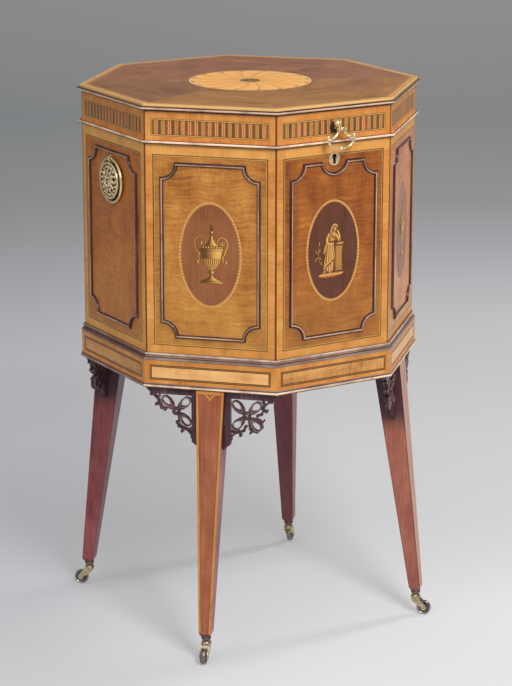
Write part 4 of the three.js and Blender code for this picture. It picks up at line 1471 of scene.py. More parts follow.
        rise = np.linspace(0, 1, 14)
        parts = [
            (0.0 + 1.3 * rise, 15.2 + 0 * rise, rolled),
            (2.2 + 1.2 * rise, 12.6 - 1.5 * rise, rolled),
            (3.7 + 7.3 * rise, 1.0 + 8.6 * (1 - rise) ** 2.2, rolled),
            (12.2 + 3.6 * rise, 1.2 + 2.6 * np.sin(math.pi * rise), rolled),
            (16.6 + 15.2 * rise, 2.0 + 9.8 * np.sin(math.pi / 2 * rise) ** 0.85, fluted),
            (32.2 + 10.2 * rise, 12.3 + 1.8 * rise, rolled),
            (43.0 + 2.0 * rise, 15.3 + 0.7 * rise, rolled),
            (45.8 + 2.4 * rise, 15.2 - 1.2 * rise, fluted),
            (49.0 + 13.6 * rise, 1.4 + 7.2 * (1 - rise) ** 1.9, rolled),
            (63.2 + 1.2 * rise, 1.6 + 0 * rise, burnt),
            (64.8 + 3.6 * rise, 0.4 + 2.0 * np.sin(math.pi * rise), rolled),
            (68.8 + 7.2 * rise, 0.3 + 1.3 * np.sin(math.pi * rise**0.7), burnt),
        ]
        shells = []
        for level, half, shade in parts:
            outer = np.concatenate([[level[0] - 0.5], level[1:-1], [level[-1] + 0.5]])
            columns = 81 if shade is fluted else 17
            shells.append(self.cut_out(side, even(foot + outer, middle, half + 0.7), burnt, 9, 0.06))
            shells.append(self.cut_out(side, even(foot + level, middle, half), shade, columns))
        scroll = [
            (8.6, 49.6), (7.9, 53.4), (9.6, 58.0), (14.2, 60.6), (19.0, 58.8), (21.9, 54.0), (21.4, 48.0),
            (19.4, 42.2), (16.9, 37.6), (15.6, 33.2), (16.0, 29.4), (18.0, 26.8), (20.2, 27.6), (20.4, 29.6),
        ]
        curl = [(18.6, 54.6), (17.8, 51.4), (15.0, 49.6), (12.0, 50.6), (11.2, 53.0), (12.6, 55.2)]
        for way, shade in ((-1, 0.5), (1, 0.3)):
            for knots, thin, thick in ((scroll, 0.5, 0.6), (curl, 0.35, 0.3)):
                path = smooth(knots, 8) * [way, 1] + [middle, foot]
                halves = thin + thick * np.sin(np.linspace(0.1, math.pi - 0.1, len(path))) ** 2
                shells += self.strand(side, path, halves, shade, 0.6, (0.06, 0.15))
            for across, up, radius in ((13.9, 52.6, 1.7), (17.1, 38.0, 1.5), (18.6, 27.2, 1.9)):
                bud = spot(middle + way * across, foot + up, radius, radius)
                shells.append(self.cut_out(side, bud, rolled, 9, 0.2))
        return shells

    def figure(self, side: Side) -> list[Shell]:
        """A draped figure who leans on a pedestal with crossed ankles, a sprig, and a strip of ground.

        Args:
            side: The side it stands on.

        Returns:
            The solid's pieces.
        """

        def plain(place: Array, share: Array) -> Array:
            """Burnt at both edges, darker on the left."""
            return np.clip(0.3 + 0.6 * place**4 - 0.25 * place, 0, 1)

        def stone(place: Array, share: Array) -> Array:
            """A browner flat wood with dark edges."""
            return np.clip(0.42 + 0.5 * place**8, 0, 1)

        def folds(place: Array, share: Array) -> Array:
            """Long folds that lean with the stance."""
            wave = np.cos(4.2 * math.pi * (place + 0.4 * share))
            return np.clip(0.3 + 0.45 * wave + 0.4 * place**4 - 0.15 * place, -0.1, 1)

        def earth(place: Array, share: Array) -> Array:
            """Salmon below, burnt above."""
            return np.clip(-1.0 + 2.6 * (share - 0.25), -1.0, 0.62) + 0.06 * np.cos(13 * place)

        ground = smooth([(513.8, -14.0, -2.0), (515.2, -19.6, 7.0), (517.2, -21.8, 14.6), (520.0, -18.0, 16.2)], 5)
        skirt = smooth([
            (522.4, -13.4, 0.4), (528.0, -14.8, 1.2), (533.0, -14.6, 1.6), (541.0, -12.4, 1.9), (549.0, -11.2, 1.4),
            (555.0, -9.8, 0.6), (560.0, -8.6, 0.8),
        ], 5)
        torso = smooth([
            (560.6, -8.2, 1.2), (563.6, -7.4, 2.2), (567.6, -7.2, 3.8), (571.4, -6.6, 4.2), (573.0, -4.0, 3.0),
            (573.8, -0.6, 2.2),
        ], 5)
        cloak = [(546.0, -15.6, -13.6), (550.6, -14.6, -11.0), (556.6, -12.8, -8.0), (561.4, -10.4, -6.0)]
        die = [(526.5, 2.8, 15.0), (530.0, 3.0, 14.0), (545.0, 3.2, 13.6), (554.4, 3.2, 14.8)]
        shapes = [
            (ground, earth, 21),
            (smooth(cloak, 5), folds, 25),
            ([(522.0, 2.6, 14.8), (524.0, 2.6, 14.8)], stone, 17),
            ([(524.3, 3.2, 14.0), (526.2, 3.6, 13.6)], stone, 17),
            (smooth(die, 5), stone, 33),
            ([(554.4, 3.6, 14.2), (556.4, 3.6, 14.8)], burnt, 9),
            ([(556.4, 3.4, 15.8), (559.0, 3.4, 15.8)], plain, 17),
            (skirt, folds, 49),
            (torso, plain, 21),
            ([(560.2, -8.8, 1.6), (562.0, -8.8, 2.6)], burnt, 9),
            (spot(0.4, 574.6, 1.5, 2.0), plain, 9),
            (spot(1.4, 579.0, 4.0, 4.5), burnt, 13),
            (spot(2.2, 577.8, 2.5, 3.3), plain, 17),
            (spot(-14.0, 521.6, 2.6, 1.2), plain, 13),
            (spot(-5.0, 521.2, 2.6, 1.2), plain, 13),
        ]
        shells = [self.cut_out(side, *shape, 0.12 + 0.004 * order) for order, shape in enumerate(shapes)]
        bands = [
            ([(-4.6, 571.6), (-3.4, 576.4), (-1.6, 580.6), (1.6, 583.4), (5.0, 582.4), (6.2, 579.4)], 1.0, 0.15),
            ([(-3.2, 572.0), (-2.0, 576.0), (0.0, 579.6), (2.8, 581.2), (5.0, 580.2)], 0.5, 0.7),
            ([(-6.2, 572.0), (-8.8, 567.0), (-9.4, 561.6), (-6.0, 558.4), (-1.4, 558.6)], 1.5, 0.1),
            ([(3.6, 571.0), (7.2, 565.4), (9.6, 560.6)], 1.5, 0.1),
            ([(9.8, 560.4), (9.6, 566.0), (8.0, 571.4), (5.6, 575.4)], 1.1, 0.0),
            ([(-3.4, 571.0), (0.4, 566.2), (5.6, 562.2)], 0.9, 0.7),
            ([(1.4, 540.6), (-4.6, 535.4), (-11.4, 531.0), (-14.4, 525.0)], 1.3, -0.3),
            ([(1.0, 537.0), (-5.0, 532.4), (-10.4, 528.6), (-12.4, 524.0)], 0.7, 0.85),
            ([(-20.4, 533.6), (-22.6, 542.0), (-23.0, 551.0), (-22.2, 558.6)], 0.35, 0.55),
            ([(-22.8, 542.0), (-25.8, 540.2), (-27.8, 536.8)], 0.55, 0.4),
            ([(-23.2, 547.4), (-25.6, 548.6), (-26.8, 551.4)], 0.55, 0.4),
            ([(-22.9, 549.4), (-21.0, 550.6), (-20.2, 553.2)], 0.55, 0.3),
            ([(-22.4, 540.6), (-20.2, 541.2), (-18.8, 538.8)], 0.55, 0.3),
            ([(-22.6, 557.0), (-21.4, 559.4), (-21.8, 562.0)], 0.6, 0.3),
            ([(-17.0, 531.0), (-18.6, 533.4), (-17.8, 536.0)], 0.5, 0.3),
        ]
        for knots, half, shade in bands:
            path = smooth(knots, 6)
            halves = half * (0.55 + 0.45 * np.sin(np.linspace(0.2, math.pi - 0.2, len(path))))
            shells += self.strand(side, path, halves, shade, 0.4, (0.2, 0.24))
        return shells


def burnt(place: Array, share: Array) -> Array:
    """Burnt all over."""
    return np.ones_like(place)


def even(level: Array, middle: float, half: Array) -> Array:
    """Edges of a shape whose left and right side are alike."""
    return np.stack([level, middle - half, middle + half], axis=-1)


def spot(across: float, height: float, wide: float, tall: float) -> Array:
    """Edges of a small oval: its half breadth is the sine of an angle, its level the cosine."""
    turn = math.pi * np.linspace(0.02, 0.98, 13)
    return even(height - tall * np.cos(turn), across, wide * np.sin(turn))


def paint(finish: Material, *names: str) -> None:
    """Puts a finish on nodes of the frame.

    Args:
        finish: The material.
        names: The nodes' names.
    """
    for name in names:
        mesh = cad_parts[name].data
        if not mesh.materials:
            mesh.materials.append(finish)
        for index in range(len(mesh.materials)):
            mesh.materials[index] = finish
        log.info("%s: %s", name, finish.name)


# Brass work


@dataclass
class Escutcheon:
    """The domed oval plate round the keyhole and the shade behind it, in millimetres."""

    half_width: float = 8.3
    half_height: float = 9.2
    height: float = 670.0
    seat: float = 210.0
    dome: float = 2.0
    eye: float = 3.1
    eye_up: float = 3.4
    slot_half: float = 1.7
    slot_length: float = 9.6
    board_eye: float = 2.1
    board_slot_half: float = 1.0
    board_slot_length: float = 6.6
    overlap: float = 0.4

    def keyhole(self, eye: float, half: float, length: float) -> Array:
        """Distance from the eye's middle to the keyhole's edge: its radius, or further down the slot.

        Args:
            eye: The eye's radius.
            half: Half the slot's breadth.
            length: How far the slot reaches down.

        Returns:
            The distance for each angle.
        """
        cosine, sine = np.cos(around(192)), np.sin(around(192))
        down = np.minimum(half / np.maximum(abs(cosine), 0.001), length / np.maximum(-sine, 0.001))
        return np.maximum(eye, np.where(sine < 0, down, 0))

    def build(self, brass: Material, shade: Material) -> None:
        """A plate between the keyhole and the oval, and a dark leaf behind it that stands in for the shade inside the
        keyhole.

        For each angle round the eye's middle a share runs from the keyhole's edge to the oval, and
        the height over the seat is a low dome with a rolled rim. The oval's distance at an angle is
        the positive root of the oval's equation along that ray.

        Args:
            brass: Its finish.
            shade: Finish of the dark leaf.
        """
        cosine, sine = np.cos(around(192)), np.sin(around(192))
        inner = self.keyhole(self.eye, self.slot_half, self.slot_length)
        a = (cosine / self.half_width) ** 2 + (sine / self.half_height) ** 2
        b = 2 * self.eye_up * sine / self.half_height**2
        c = (self.eye_up / self.half_height) ** 2 - 1
        outer = (np.sqrt(b**2 - 4 * a * c) - b) / (2 * a)
        share = np.concatenate([[0, 0], np.linspace(0.04, 0.96, 16), [1, 1]])[:, None]
        lift = self.dome * np.sqrt(np.clip(1 - (1.6 * share - 0.8) ** 2, 0, 1))
        lift = lift * (0.75 + 0.25 * np.cos(9 * (share - 0.86)) * (share > 0.6))
        lift[[0, -1]] = 0.45
        reach = inner + (outer - inner) * share
        hollow = np.clip(1 - 8 * share, 0, 1) * 0.9
        up = self.height + self.eye_up
        points = Side.FRONT.place(reach * cosine, self.seat + lift, up + reach * sine)
        piece = Piece("escutcheon_plate", "cabinet", "brass", replaces=("escutcheon",))
        piece.add(skin(points, hollow, rows_closed=True)).build(brass)
        # painted shade: a near-black leaf behind the keyhole stands in for the shadow inside it
        rim = np.array([[0.35, 0.05], [0.05, 0.05], [0.05, 1.0], [0.35, 1.0]])
        key = self.keyhole(self.board_eye, self.board_slot_half, self.board_slot_length)
        edge = self.keyhole(*(size + self.overlap for size in (self.eye, self.slot_half, self.slot_length)))
        depth, part = rim[:, :1], rim[:, 1:]
        across = key * cosine + (edge * cosine - key * cosine) * part
        leaf_up = key * sine + (edge * sine + self.eye_up - key * sine) * part
        leaf = Side.FRONT.place(across, self.seat + depth, self.height + leaf_up)
        back = Piece("keyhole_shade", "cabinet", "dark_wood")
        back.add(skin(leaf, rows_closed=True)).build(shade)


@dataclass
class FrontHandle:
    """The turned rosette with its post, and the swinging bail, in millimetres."""

    height: float = 711.1
    face: float = 210.0
    reach: float = 17.0
    knob_reach: float = 8.0
    knob_rise: float = 5.6
    knob: Place = (5.0, 4.8, 4.9)
    tip_rise: float = 10.2
    tip: Place = (1.0, 1.0, 0.7)
    drop: float = 25.0
    eye_middle: float = 4.1

    def build(self, brass: Material) -> None:
        """Turns the rosette and bends the bail.

        Args:
            brass: The metal.
        """
        side, middle = Side.FRONT, (0.0, self.face, self.height)
        rosette = [
            (0.0, -8.0), (2.2, -8.0), (2.2, 0.3), (7.2, 0.3), (7.4, 0.7), (7.3, 1.2), (6.7, 1.5), (6.2, 1.3),
            (5.6, 1.4), (5.0, 2.0), (4.2, 2.5), (3.6, 2.5), (3.2, 3.0), (2.5, 3.6), (2.2, 4.6), (1.7, 6.0),
            (1.6, 8.0), (1.9, 10.5), (2.3, 12.0), (2.0, 12.8), (2.4, 13.6), (2.7, 14.6), (2.8, 16.6), (2.7, 18.2),
            (2.2, 19.3), (1.3, 19.8), (0.0, 19.9),
        ]
        dark = [0.97 if along < 4.0 else 0.0 for _, along in rosette]
        fixed = Piece("handle_post", "lid", "brass", replaces=("handle_rosette",))
        fixed.add(turned(side, middle, rosette, Axis.OUT, 56, dark))
        knob_out = self.face + self.knob_reach
        neck = np.array([(0.0, knob_out, self.height + rise) for rise in np.linspace(1.0, 4.4, 6)])
        fixed.add(rod(side, neck, np.array([1.7, 1.3, 1.1, 1.0, 1.2, 1.6]), 20))
        fixed.add(ball(side, (0.0, knob_out, self.height + self.knob_rise), self.knob, 20))
        fixed.add(ball(side, (0.0, knob_out, self.height + self.tip_rise), self.tip, 8))
        pin = mirrored([(0.0, -6.6), (1.5, -6.6), (1.7, -6.2), (1.5, -5.5), (1.2, -5.4)])
        fixed.add(turned(side, (0.0, self.face + self.reach, self.height), pin, Axis.ACROSS, 20))
        fixed.build(brass)
        moving = Piece("bail", "front_bail", "brass", replaces=("handle_bail",))
        moving.add(*self.bail(side)).build(brass)

    def bail(self, side: Side) -> list[Shell]:
        """Two spread arms that end in curls, the hanging swag, its bulb and the two eyes.

        Args:
            side: The side it stands on.

        Returns:
            The solid's pieces.
        """
        level = self.face + self.reach
        shells = []
        for way in (-1, 1):
            arm = smooth([
                (4.4, -2.6), (6.2, -6.0), (9.6, -9.6), (14.2, -11.6), (18.2, -11.6), (20.2, -10.2),
                (19.6, -8.6), (18.4, -8.8), (18.3, -9.7),
            ], 8)
            path = np.stack([way * arm[:, 0], np.full(len(arm), level), self.height + arm[:, 1]], axis=-1)
            thick = np.interp(np.linspace(0, 1, len(arm)), [0, 0.12, 0.4, 0.7, 1], [1.7, 1.5, 2.1, 1.7, 0.9])
            shells.append(rod(side, path, thick, 16))
            shells.append(ball(side, (way * 19.0, level, self.height - 12.6), (2.3, 2.1, 2.2), 12))
            eye = mirrored([(1.35, -1.0), (2.6, -1.0), (3.0, -0.6)])
            centre = (way * self.eye_middle, level, self.height)
            shells.append(turned(side, centre, eye, Axis.ACROSS, 32, closed=True))
        knots = [(19.0, -13.0), (18.4, -17.0), (15.4, -20.8), (10.6, -23.4), (5.2, -24.8), (0.0, -25.0)]
        half = smooth(knots, 8)
        swag = np.vstack([half, half[-2::-1] * [-1, 1]])
        path = np.stack([swag[:, 0], np.full(len(swag), level), self.height + swag[:, 1]], axis=-1)
        shells.append(rod(side, path, 1.5 + 0.6 * np.cos(np.linspace(-3.6, 3.6, len(swag))) ** 2, 16))
        bulb = mirrored([
            (0.0, -5.0), (0.9, -4.8), (1.3, -4.2), (1.7, -3.8), (2.0, -3.2), (1.6, -2.9), (2.3, -2.2), (2.8, -1.0),
        ], (2.9, 0.0))
        shells.append(turned(side, (0.0, level, self.height - self.drop), bulb, Axis.ACROSS, 32))
        return shells


@dataclass
class LionMask:
    """A beaded plate with a lion's head in relief, its lug and its ring, in millimetres."""

    height: float = 627.0
    face: float = 210.0
    head_radius: float = 20.8
    bead_circle: float = 22.7
    bead_radius: float = 1.3
    bead_rise: float = 1.2
    bead_count: int = 42
    ring_radius: float = 29.0
    ring_wire: float = 1.9
    standoff: float = 3.3
    floor: float = 5.4
    lug_width: float = 6.0

    def relief(self, x: Array, y: Array) -> Array:
        """Height of the head over its plate.

        A domed head, plus two rings of mane locks that follow the cosine of the angle, plus
        soft round swellings for brows, eyes, nose, cheeks, muzzle, chin and ears, less hollows
        for the sockets, the mouth and the ears.

        Args:
            x: Place to the right.
            y: Place upwards.

        Returns:
            The heights.
        """
        radius, angle = np.hypot(x, y), np.arctan2(y, x)

        def swell(across: float, up: float, wide: float, tall: float, high: float) -> Array:
            """A pair of soft swellings, one each side of the nose."""
            return high * np.exp(-(((abs(x) - across) / wide) ** 2) - ((y - up) / tall) ** 2)

        head = 0.6 + 5.6 * np.clip(1 - (radius / 13.4) ** 2, 0, None) ** 0.7
        inner = 2.6 * np.exp(-(((radius - 13.8) / 2.4) ** 2)) * np.cos(5.5 * angle + 0.12 * (radius - 12)) ** 2
        outer = 2.4 * np.exp(-(((radius - 18.4) / 1.9) ** 2)) * np.cos(8.5 * angle - 0.2 * radius) ** 2
        strands = 0.25 * np.exp(-(((radius - 16) / 4) ** 2)) * np.cos(40 * angle + 0.5 * radius)
        swellings = (
            (4.1, 4.7, 2.9, 1.2, 1.5), (4.3, 2.3, 1.9, 1.2, -1.9), (4.3, 2.3, 1.0, 0.75, 1.3),
            (0.0, 1.6, 1.5, 5.0, 1.9), (0.0, -2.9, 2.3, 1.3, 2.5), (2.9, -5.9, 2.5, 2.1, 3.6),
            (0.0, -10.0, 2.6, 1.5, 2.4), (0.0, -8.1, 4.2, 0.6, -2.6), (0.0, -5.3, 0.35, 1.3, -1.3),
            (8.0, -1.6, 2.4, 3.2, 1.1), (8.9, 9.0, 2.5, 2.3, 2.8), (8.9, 8.8, 1.1, 1.0, -2.0),
            (0.0, 7.0, 0.5, 2.4, -0.8), (1.9, 8.4, 1.2, 1.7, 0.8),
        )
        return head + inner + outer + strands + 0.78 * sum(swell(*numbers) for numbers in swellings)

    def build(self, side: Side, brass: Material) -> None:
        """Makes the plate with its head, and the ring, on one side.

        Args:
            side: Left or right side of the case.
            brass: Their finish.
        """
        middle = (0.0, self.face, self.height)
        rim = [
            (0.0, 0.0), (23.0, 0.0), (23.4, 0.4), (23.3, 2.6), (23.7, 3.8), (24.6, 4.9), (25.0, 5.7), (25.0, 6.7),
            (24.7, 7.3), (24.3, 7.5), (23.9, 7.3), (23.7, 6.6), (21.7, 6.2), (21.4, 5.7), (0.0, 5.4),
        ]
        shades = [0.9] * 5 + [0.7] + [0.0] * 4 + [0.4] + [1.0] * 4
        name = f"mask_plate_{side.word}"
        plate = Piece(f"lion_plate_{side.word}", "cabinet", "brass", replaces=(name,), crease=60)
        plate.add(turned(side, middle, rim, Axis.OUT, 96, shades))
        plate.add(self.head(side), *self.beads(side), *self.lug(side))
        plate.build(brass)
        angle, tube = around(120)[:, None], around(20)[None, :]
        reach = self.ring_radius + self.ring_wire * np.cos(tube)
        out = self.face + self.standoff + self.ring_wire * np.sin(tube)
        ring = side.place(reach * np.sin(angle), out, self.height + reach * np.cos(angle))
        piece = Piece(f"ring_{side.word}", f"ring_{side.word}", "brass", replaces=(f"mask_ring_{side.word}",))
        piece.add(skin(ring, rows_closed=True)).build(brass)

    def head(self, side: Side) -> Shell:
        """The relief on a grid of circles, closed behind, with patina where it dips under its own average.

        Args:
            side: The side it stands on.

        Returns:
            The closed relief.
        """
        share = np.linspace(0, 1, 74)[:, None]
        angle = around(240)[None, :]
        x, y = self.head_radius * share * np.cos(angle), self.head_radius * share * np.sin(angle)
        high = self.relief(x, y)
        near = [self.relief(x + dx, y + dy) for dx, dy in ((2.0, 0), (-2.0, 0), (0, 2.0), (0, -2.0))]
        hollow = np.clip((np.mean(near, axis=0) - high) * 2.6 + 0.1, 0, 0.99)
        hollow = np.vstack([hollow, np.full_like(hollow[:2], [[0.8], [0.0]])])
        base = self.face + self.floor - 0.2
        grid = side.place(x, base + high, self.height + y)
        seat = side.place(x[-1:], base, self.height + y[-1:])
        closing = side.place(0 * x[-1:], base, self.height + 0 * y[-1:])
        return skin(np.vstack([grid, seat, closing]), hollow)

    def beads(self, side: Side) -> list[Shell]:
        """A circle of small beads inside the rim.

        Args:
            side: The side it stands on.

        Returns:
            The solid's pieces.
        """
        out, radii = self.face + self.floor + self.bead_rise, (self.bead_radius,) * 3
        places = [(self.bead_circle * math.cos(a), self.bead_circle * math.sin(a)) for a in around(self.bead_count)]
        return [ball(side, (across, out, self.height + up), radii, 6) for across, up in places]

    def lug(self, side: Side) -> list[Shell]:
        """The eye that the ring hangs in, on a short stalk from the plate.

        Args:
            side: The side it stands on.

        Returns:
            The solid's pieces.
        """
        sleeve = mirrored([(2.45, -2.6), (2.7, -3.0), (3.8, -3.0), (4.1, -2.4)])
        top = self.height + self.ring_radius
        eye = turned(side, (0.0, self.face + self.standoff, top), sleeve, Axis.ACROSS, 40, closed=True)
        half = self.lug_width / 2
        outline = np.array([
            (0.2, -6.4), (2.6, -5.6), (2.6, -3.7), (0.7, -2.4), (0.7, 2.4), (2.6, 3.7), (2.2, 4.8), (0.2, 5.2),
        ])
        stalk = soft_plate(
            outline, -half, half, 0.25, lambda out, up, level: side.place(level, self.face + out, top + up)
        )
        return [eye, stalk]


@dataclass
class Castor:
    """One castor: the horn with its collar and two cheeks, and the wheel between them, in millimetres."""

    swivel_out: float = 238.6
    trail: float = 12.0
    wheel_height: float = 10.0
    crown_height: float = 26.8
    boss_radius: float = 3.6
    cheek_inner: float = 4.0
    cheek_outer: float = 6.0
    web_inner: float = 11.1
    web_outer: float = 13.2
    web_half: float = 4.2

    def web(self, side: Side) -> Shell:
        """The curved back of the horn between its cheeks: an arc round the axle that clears the wheel.

        Args:
            side: The side it stands on.

        Returns:
            The web's shell.
        """
        turn = np.radians(np.linspace(119, 151, 13))
        line = np.stack([np.cos(turn), np.sin(turn)], axis=-1)
        outline = np.vstack([self.web_outer * line[::-1], self.web_inner * line])
        return soft_plate(
            outline, -self.web_half, self.web_half, 0.4,
            lambda out, up, level: side.place(level, self.swivel_out + self.trail + out, self.wheel_height + up),
        )

    def build(self, side: Side, brass: Material, iron: Material) -> None:
        """Makes the horn and the wheel under one leg.

        Args:
            side: Side of that leg.
            brass: Finish of the horn.
            iron: Finish of the wheel.
        """
        middle = (0.0, self.swivel_out, 0.0)
        stem = [
            (0.0, 22.6), (5.6, 22.6), (6.4, 23.2), (6.6, 24.4), (6.4, 26.2), (5.5, 27.2), (5.0, 28.6), (5.2, 30.0),
            (6.0, 30.8), (6.6, 31.6), (6.6, 33.2), (6.2, 33.8), (6.6, 34.3), (6.6, 35.6), (6.2, 36.1), (3.0, 36.1),
            (3.0, 60.1), (0.0, 60.1),
        ]
        shades = [0.95 if along > 33.5 else 0.8 if along > 28.0 else 0.45 for _, along in stem]
        horn = Piece(f"horn_{side.word}", f"castor_{side.word}", "brass", replaces=(f"castor_horn_{side.word}",))
        horn.add(turned(side, middle, stem, Axis.HEIGHT, 40, shades))
        for inner, outer in ((-self.cheek_outer, -self.cheek_inner), (self.cheek_inner, self.cheek_outer)):
            horn.add(soft_plate(
                self.cheek(), inner, outer, 0.6, lambda out, up, level: side.place(level, self.swivel_out + out, up)
            ))
        wheel_middle = (0.0, self.swivel_out + self.trail, self.wheel_height)
        axle = mirrored([(0.0, -6.5), (1.2, -6.5), (1.6, -6.2)])
        horn.add(turned(side, wheel_middle, axle, Axis.ACROSS, 24), self.web(side)).build(brass)
        profile = mirrored([
            (1.7, -3.5), (3.2, -3.5), (3.8, -3.2), (4.4, -2.4), (6.6, -2.3), (7.6, -2.9), (8.3, -3.5), (9.2, -3.2),
            (9.8, -2.2), (10.0, -0.8),
        ])
        tread = [0.7 if 4.0 < radius < 7.2 else 0.0 for radius, _ in profile]
        wheel = Piece(f"wheel_{side.word}", f"wheel_{side.word}", "brass", replaces=(f"castor_wheel_{side.word}",))
        wheel.add(turned(side, wheel_middle, profile, Axis.ACROSS, 56, tread, closed=True)).build(iron)

    def cheek(self) -> Array:
        """Outline of a cheek: two sweeps from the crown to a round boss at the axle, anticlockwise.

        Returns:
            The outline's points.
        """
        top, boss, axle = self.crown_height, self.boss_radius, self.wheel_height
        near, far = self.trail - boss, self.trail + boss
        inner = cubic([(-5.6, top), (-5.6, axle + boss), (near, axle + boss), (near, axle)], 13)
        tip = arc((self.trail, axle), boss, 180, 360, 14)[1:-1]
        outer = cubic([(far, axle), (far, axle + 2 * boss), (5.6, 18.9), (5.6, top)], 13)
        return np.vstack([inner, tip, outer])


# Fretwork


@dataclass
class FretBracket:
    """Pierced brackets: the frame's fret with softened edges and raised ribs on its petals, in millimetres."""

    corner: float = 19.2
    front: float = 209.4
    stand_bottom: float = 366.4
    boss_across: float = 28.6
    boss_down: float = 32.0
    petal_start: float = 2.1
    petal_length: float = 24.9
    half_width: float = 8.6
    rib_inset: float = 1.1
    rib_half: float = 0.5
    rib_rise: float = 0.75
    softening: float = 0.6
    sharp: float = 50.0

    def build(self, side: Side, mirrored: bool, whole: bool, wood: Material) -> None:
        """Softens a copy of the fret and lays ribs along its petals.

        Args:
            side: Side of the leg.
            mirrored: True for the bracket on the left of the leg.
            whole: False where the outermost petal is lost.
            wood: Its finish.
        """
        hand, way = ("left", -1) if mirrored else ("right", 1)
        name = f"bracket_{side.word}_{hand}"
        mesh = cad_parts[name].data.copy()
        merge(mesh)
        mesh.materials.clear()
        mesh.materials.append(wood)
        fret = link(f"fret_{side.word}_{hand}", mesh)
        soften = fret.modifiers.new("softened edges", "BEVEL")
        soften.width, soften.segments = self.softening * 0.001, 2
        soften.limit_method, soften.angle_limit = "ANGLE", math.radians(self.sharp)
        mount(fret, "cabinet", "dark_wood", (name,))
        ribs = Piece(f"ribs_{side.word}_{hand}", "cabinet", "dark_wood")
        for degrees in (45, 135, 225, -45)[: 4 if whole else 3]:
            ribs.add(self.rib(side, degrees, way))
        middle = (way * (self.corner + self.boss_across), self.front, self.stand_bottom - self.boss_down)
        boss = [(2.2, -0.4), (2.2, 0.5), (2.8, 0.9), (3.8, 0.9), (4.6, 0.5), (5.2, -0.4)]
        ribs.add(turned(side, middle, boss, Axis.OUT, 32, closed=True)).build(wood)

    def rib(self, side: Side, degrees: float, way: int) -> Shell:
        """A half-round rib inside the edge of a petal.

        The petal's edge is a pair of cubics from its root round its tip and back. The rib's line is
        that edge moved in along its mitres, and its section is a low half round.

        Args:
            side: Side of the leg.
            degrees: Direction of the petal.
            way: 1 on the right of the leg, -1 on the left.

        Returns:
            The closed shell.
        """
        start, end, wide = self.petal_start + 4.2, self.petal_start + self.petal_length, self.half_width
        half = cubic([(start, 0), (start + (end - start) * 0.3, -wide * 0.86), (end, -wide), (end, 0)], 21)
        edge = np.vstack([half, half[-2:0:-1] * [1, -1]])
        line = edge - mitres(edge) * self.rib_inset
        spin = math.radians(degrees)
        bow = [(self.rib_half * math.cos(a), self.rib_rise * math.sin(a)) for a in np.linspace(0, math.pi, 7)]
        section = np.array([*bow, (-self.rib_half, -0.3), (self.rib_half, -0.3)])
        grid = line[:, None] + mitres(line)[:, None] * section[None, :, :1]
        x = grid[..., 0] * math.cos(spin) - grid[..., 1] * math.sin(spin)
        y = grid[..., 0] * math.sin(spin) + grid[..., 1] * math.cos(spin)
        across = way * (self.corner + self.boss_across + x)
        out = self.front + section[None, :, 1]
        # painted highlight with wear: the rib's tone peaks on its crest
        crest_wear_and_highlight = np.array([0.0, 0.2, 0.45, 0.6, 0.45, 0.2, 0.0, 0.0, 0.0])
        return skin(side.place(across, out, self.stand_bottom - self.boss_down + y), crest_wear_and_highlight, rows_closed=True)


def merge(mesh: bpy.types.Mesh) -> None:
    """Joins the loose triangles of a copied node where their corners meet.

    Args:
        mesh: The mesh, changed in place.
    """
    shape = bmesh.new()
    shape.from_mesh(mesh)
    bmesh.ops.remove_doubles(shape, verts=shape.verts, dist=0.00001)
    bmesh.ops.dissolve_limit(shape, angle_limit=math.radians(1), verts=shape.verts, edges=shape.edges)
    shape.to_mesh(mesh)
    shape.free()


# Studio


@dataclass(frozen=True)
class Lamp:
    """A soft square lamp that faces the object."""

    name: str
    bearing: float
    rise: float
    distance: float
    size: float
    level: float

    def hang(self, aim: Vector) -> None:
        """Hangs the lamp so that a face turned to it gets its level of light.

        A square lamp gives its power over pi times the distance squared, and a matt face turns a
        pi-th of that into brightness.

        Args:
            aim: The place that it faces.
        """
        back = away(self.bearing, self.rise)
        data = bpy.data.lights.new(self.name, "AREA")
        data.shape = "SQUARE"
        data.size = self.size
        data.energy = self.level * math.pi**2 * self.distance**2
        lamp = link(self.name, data)
        lamp.location = aim + back * self.distance
        lamp.rotation_euler = back.to_track_quat("Z", "Y").to_euler()


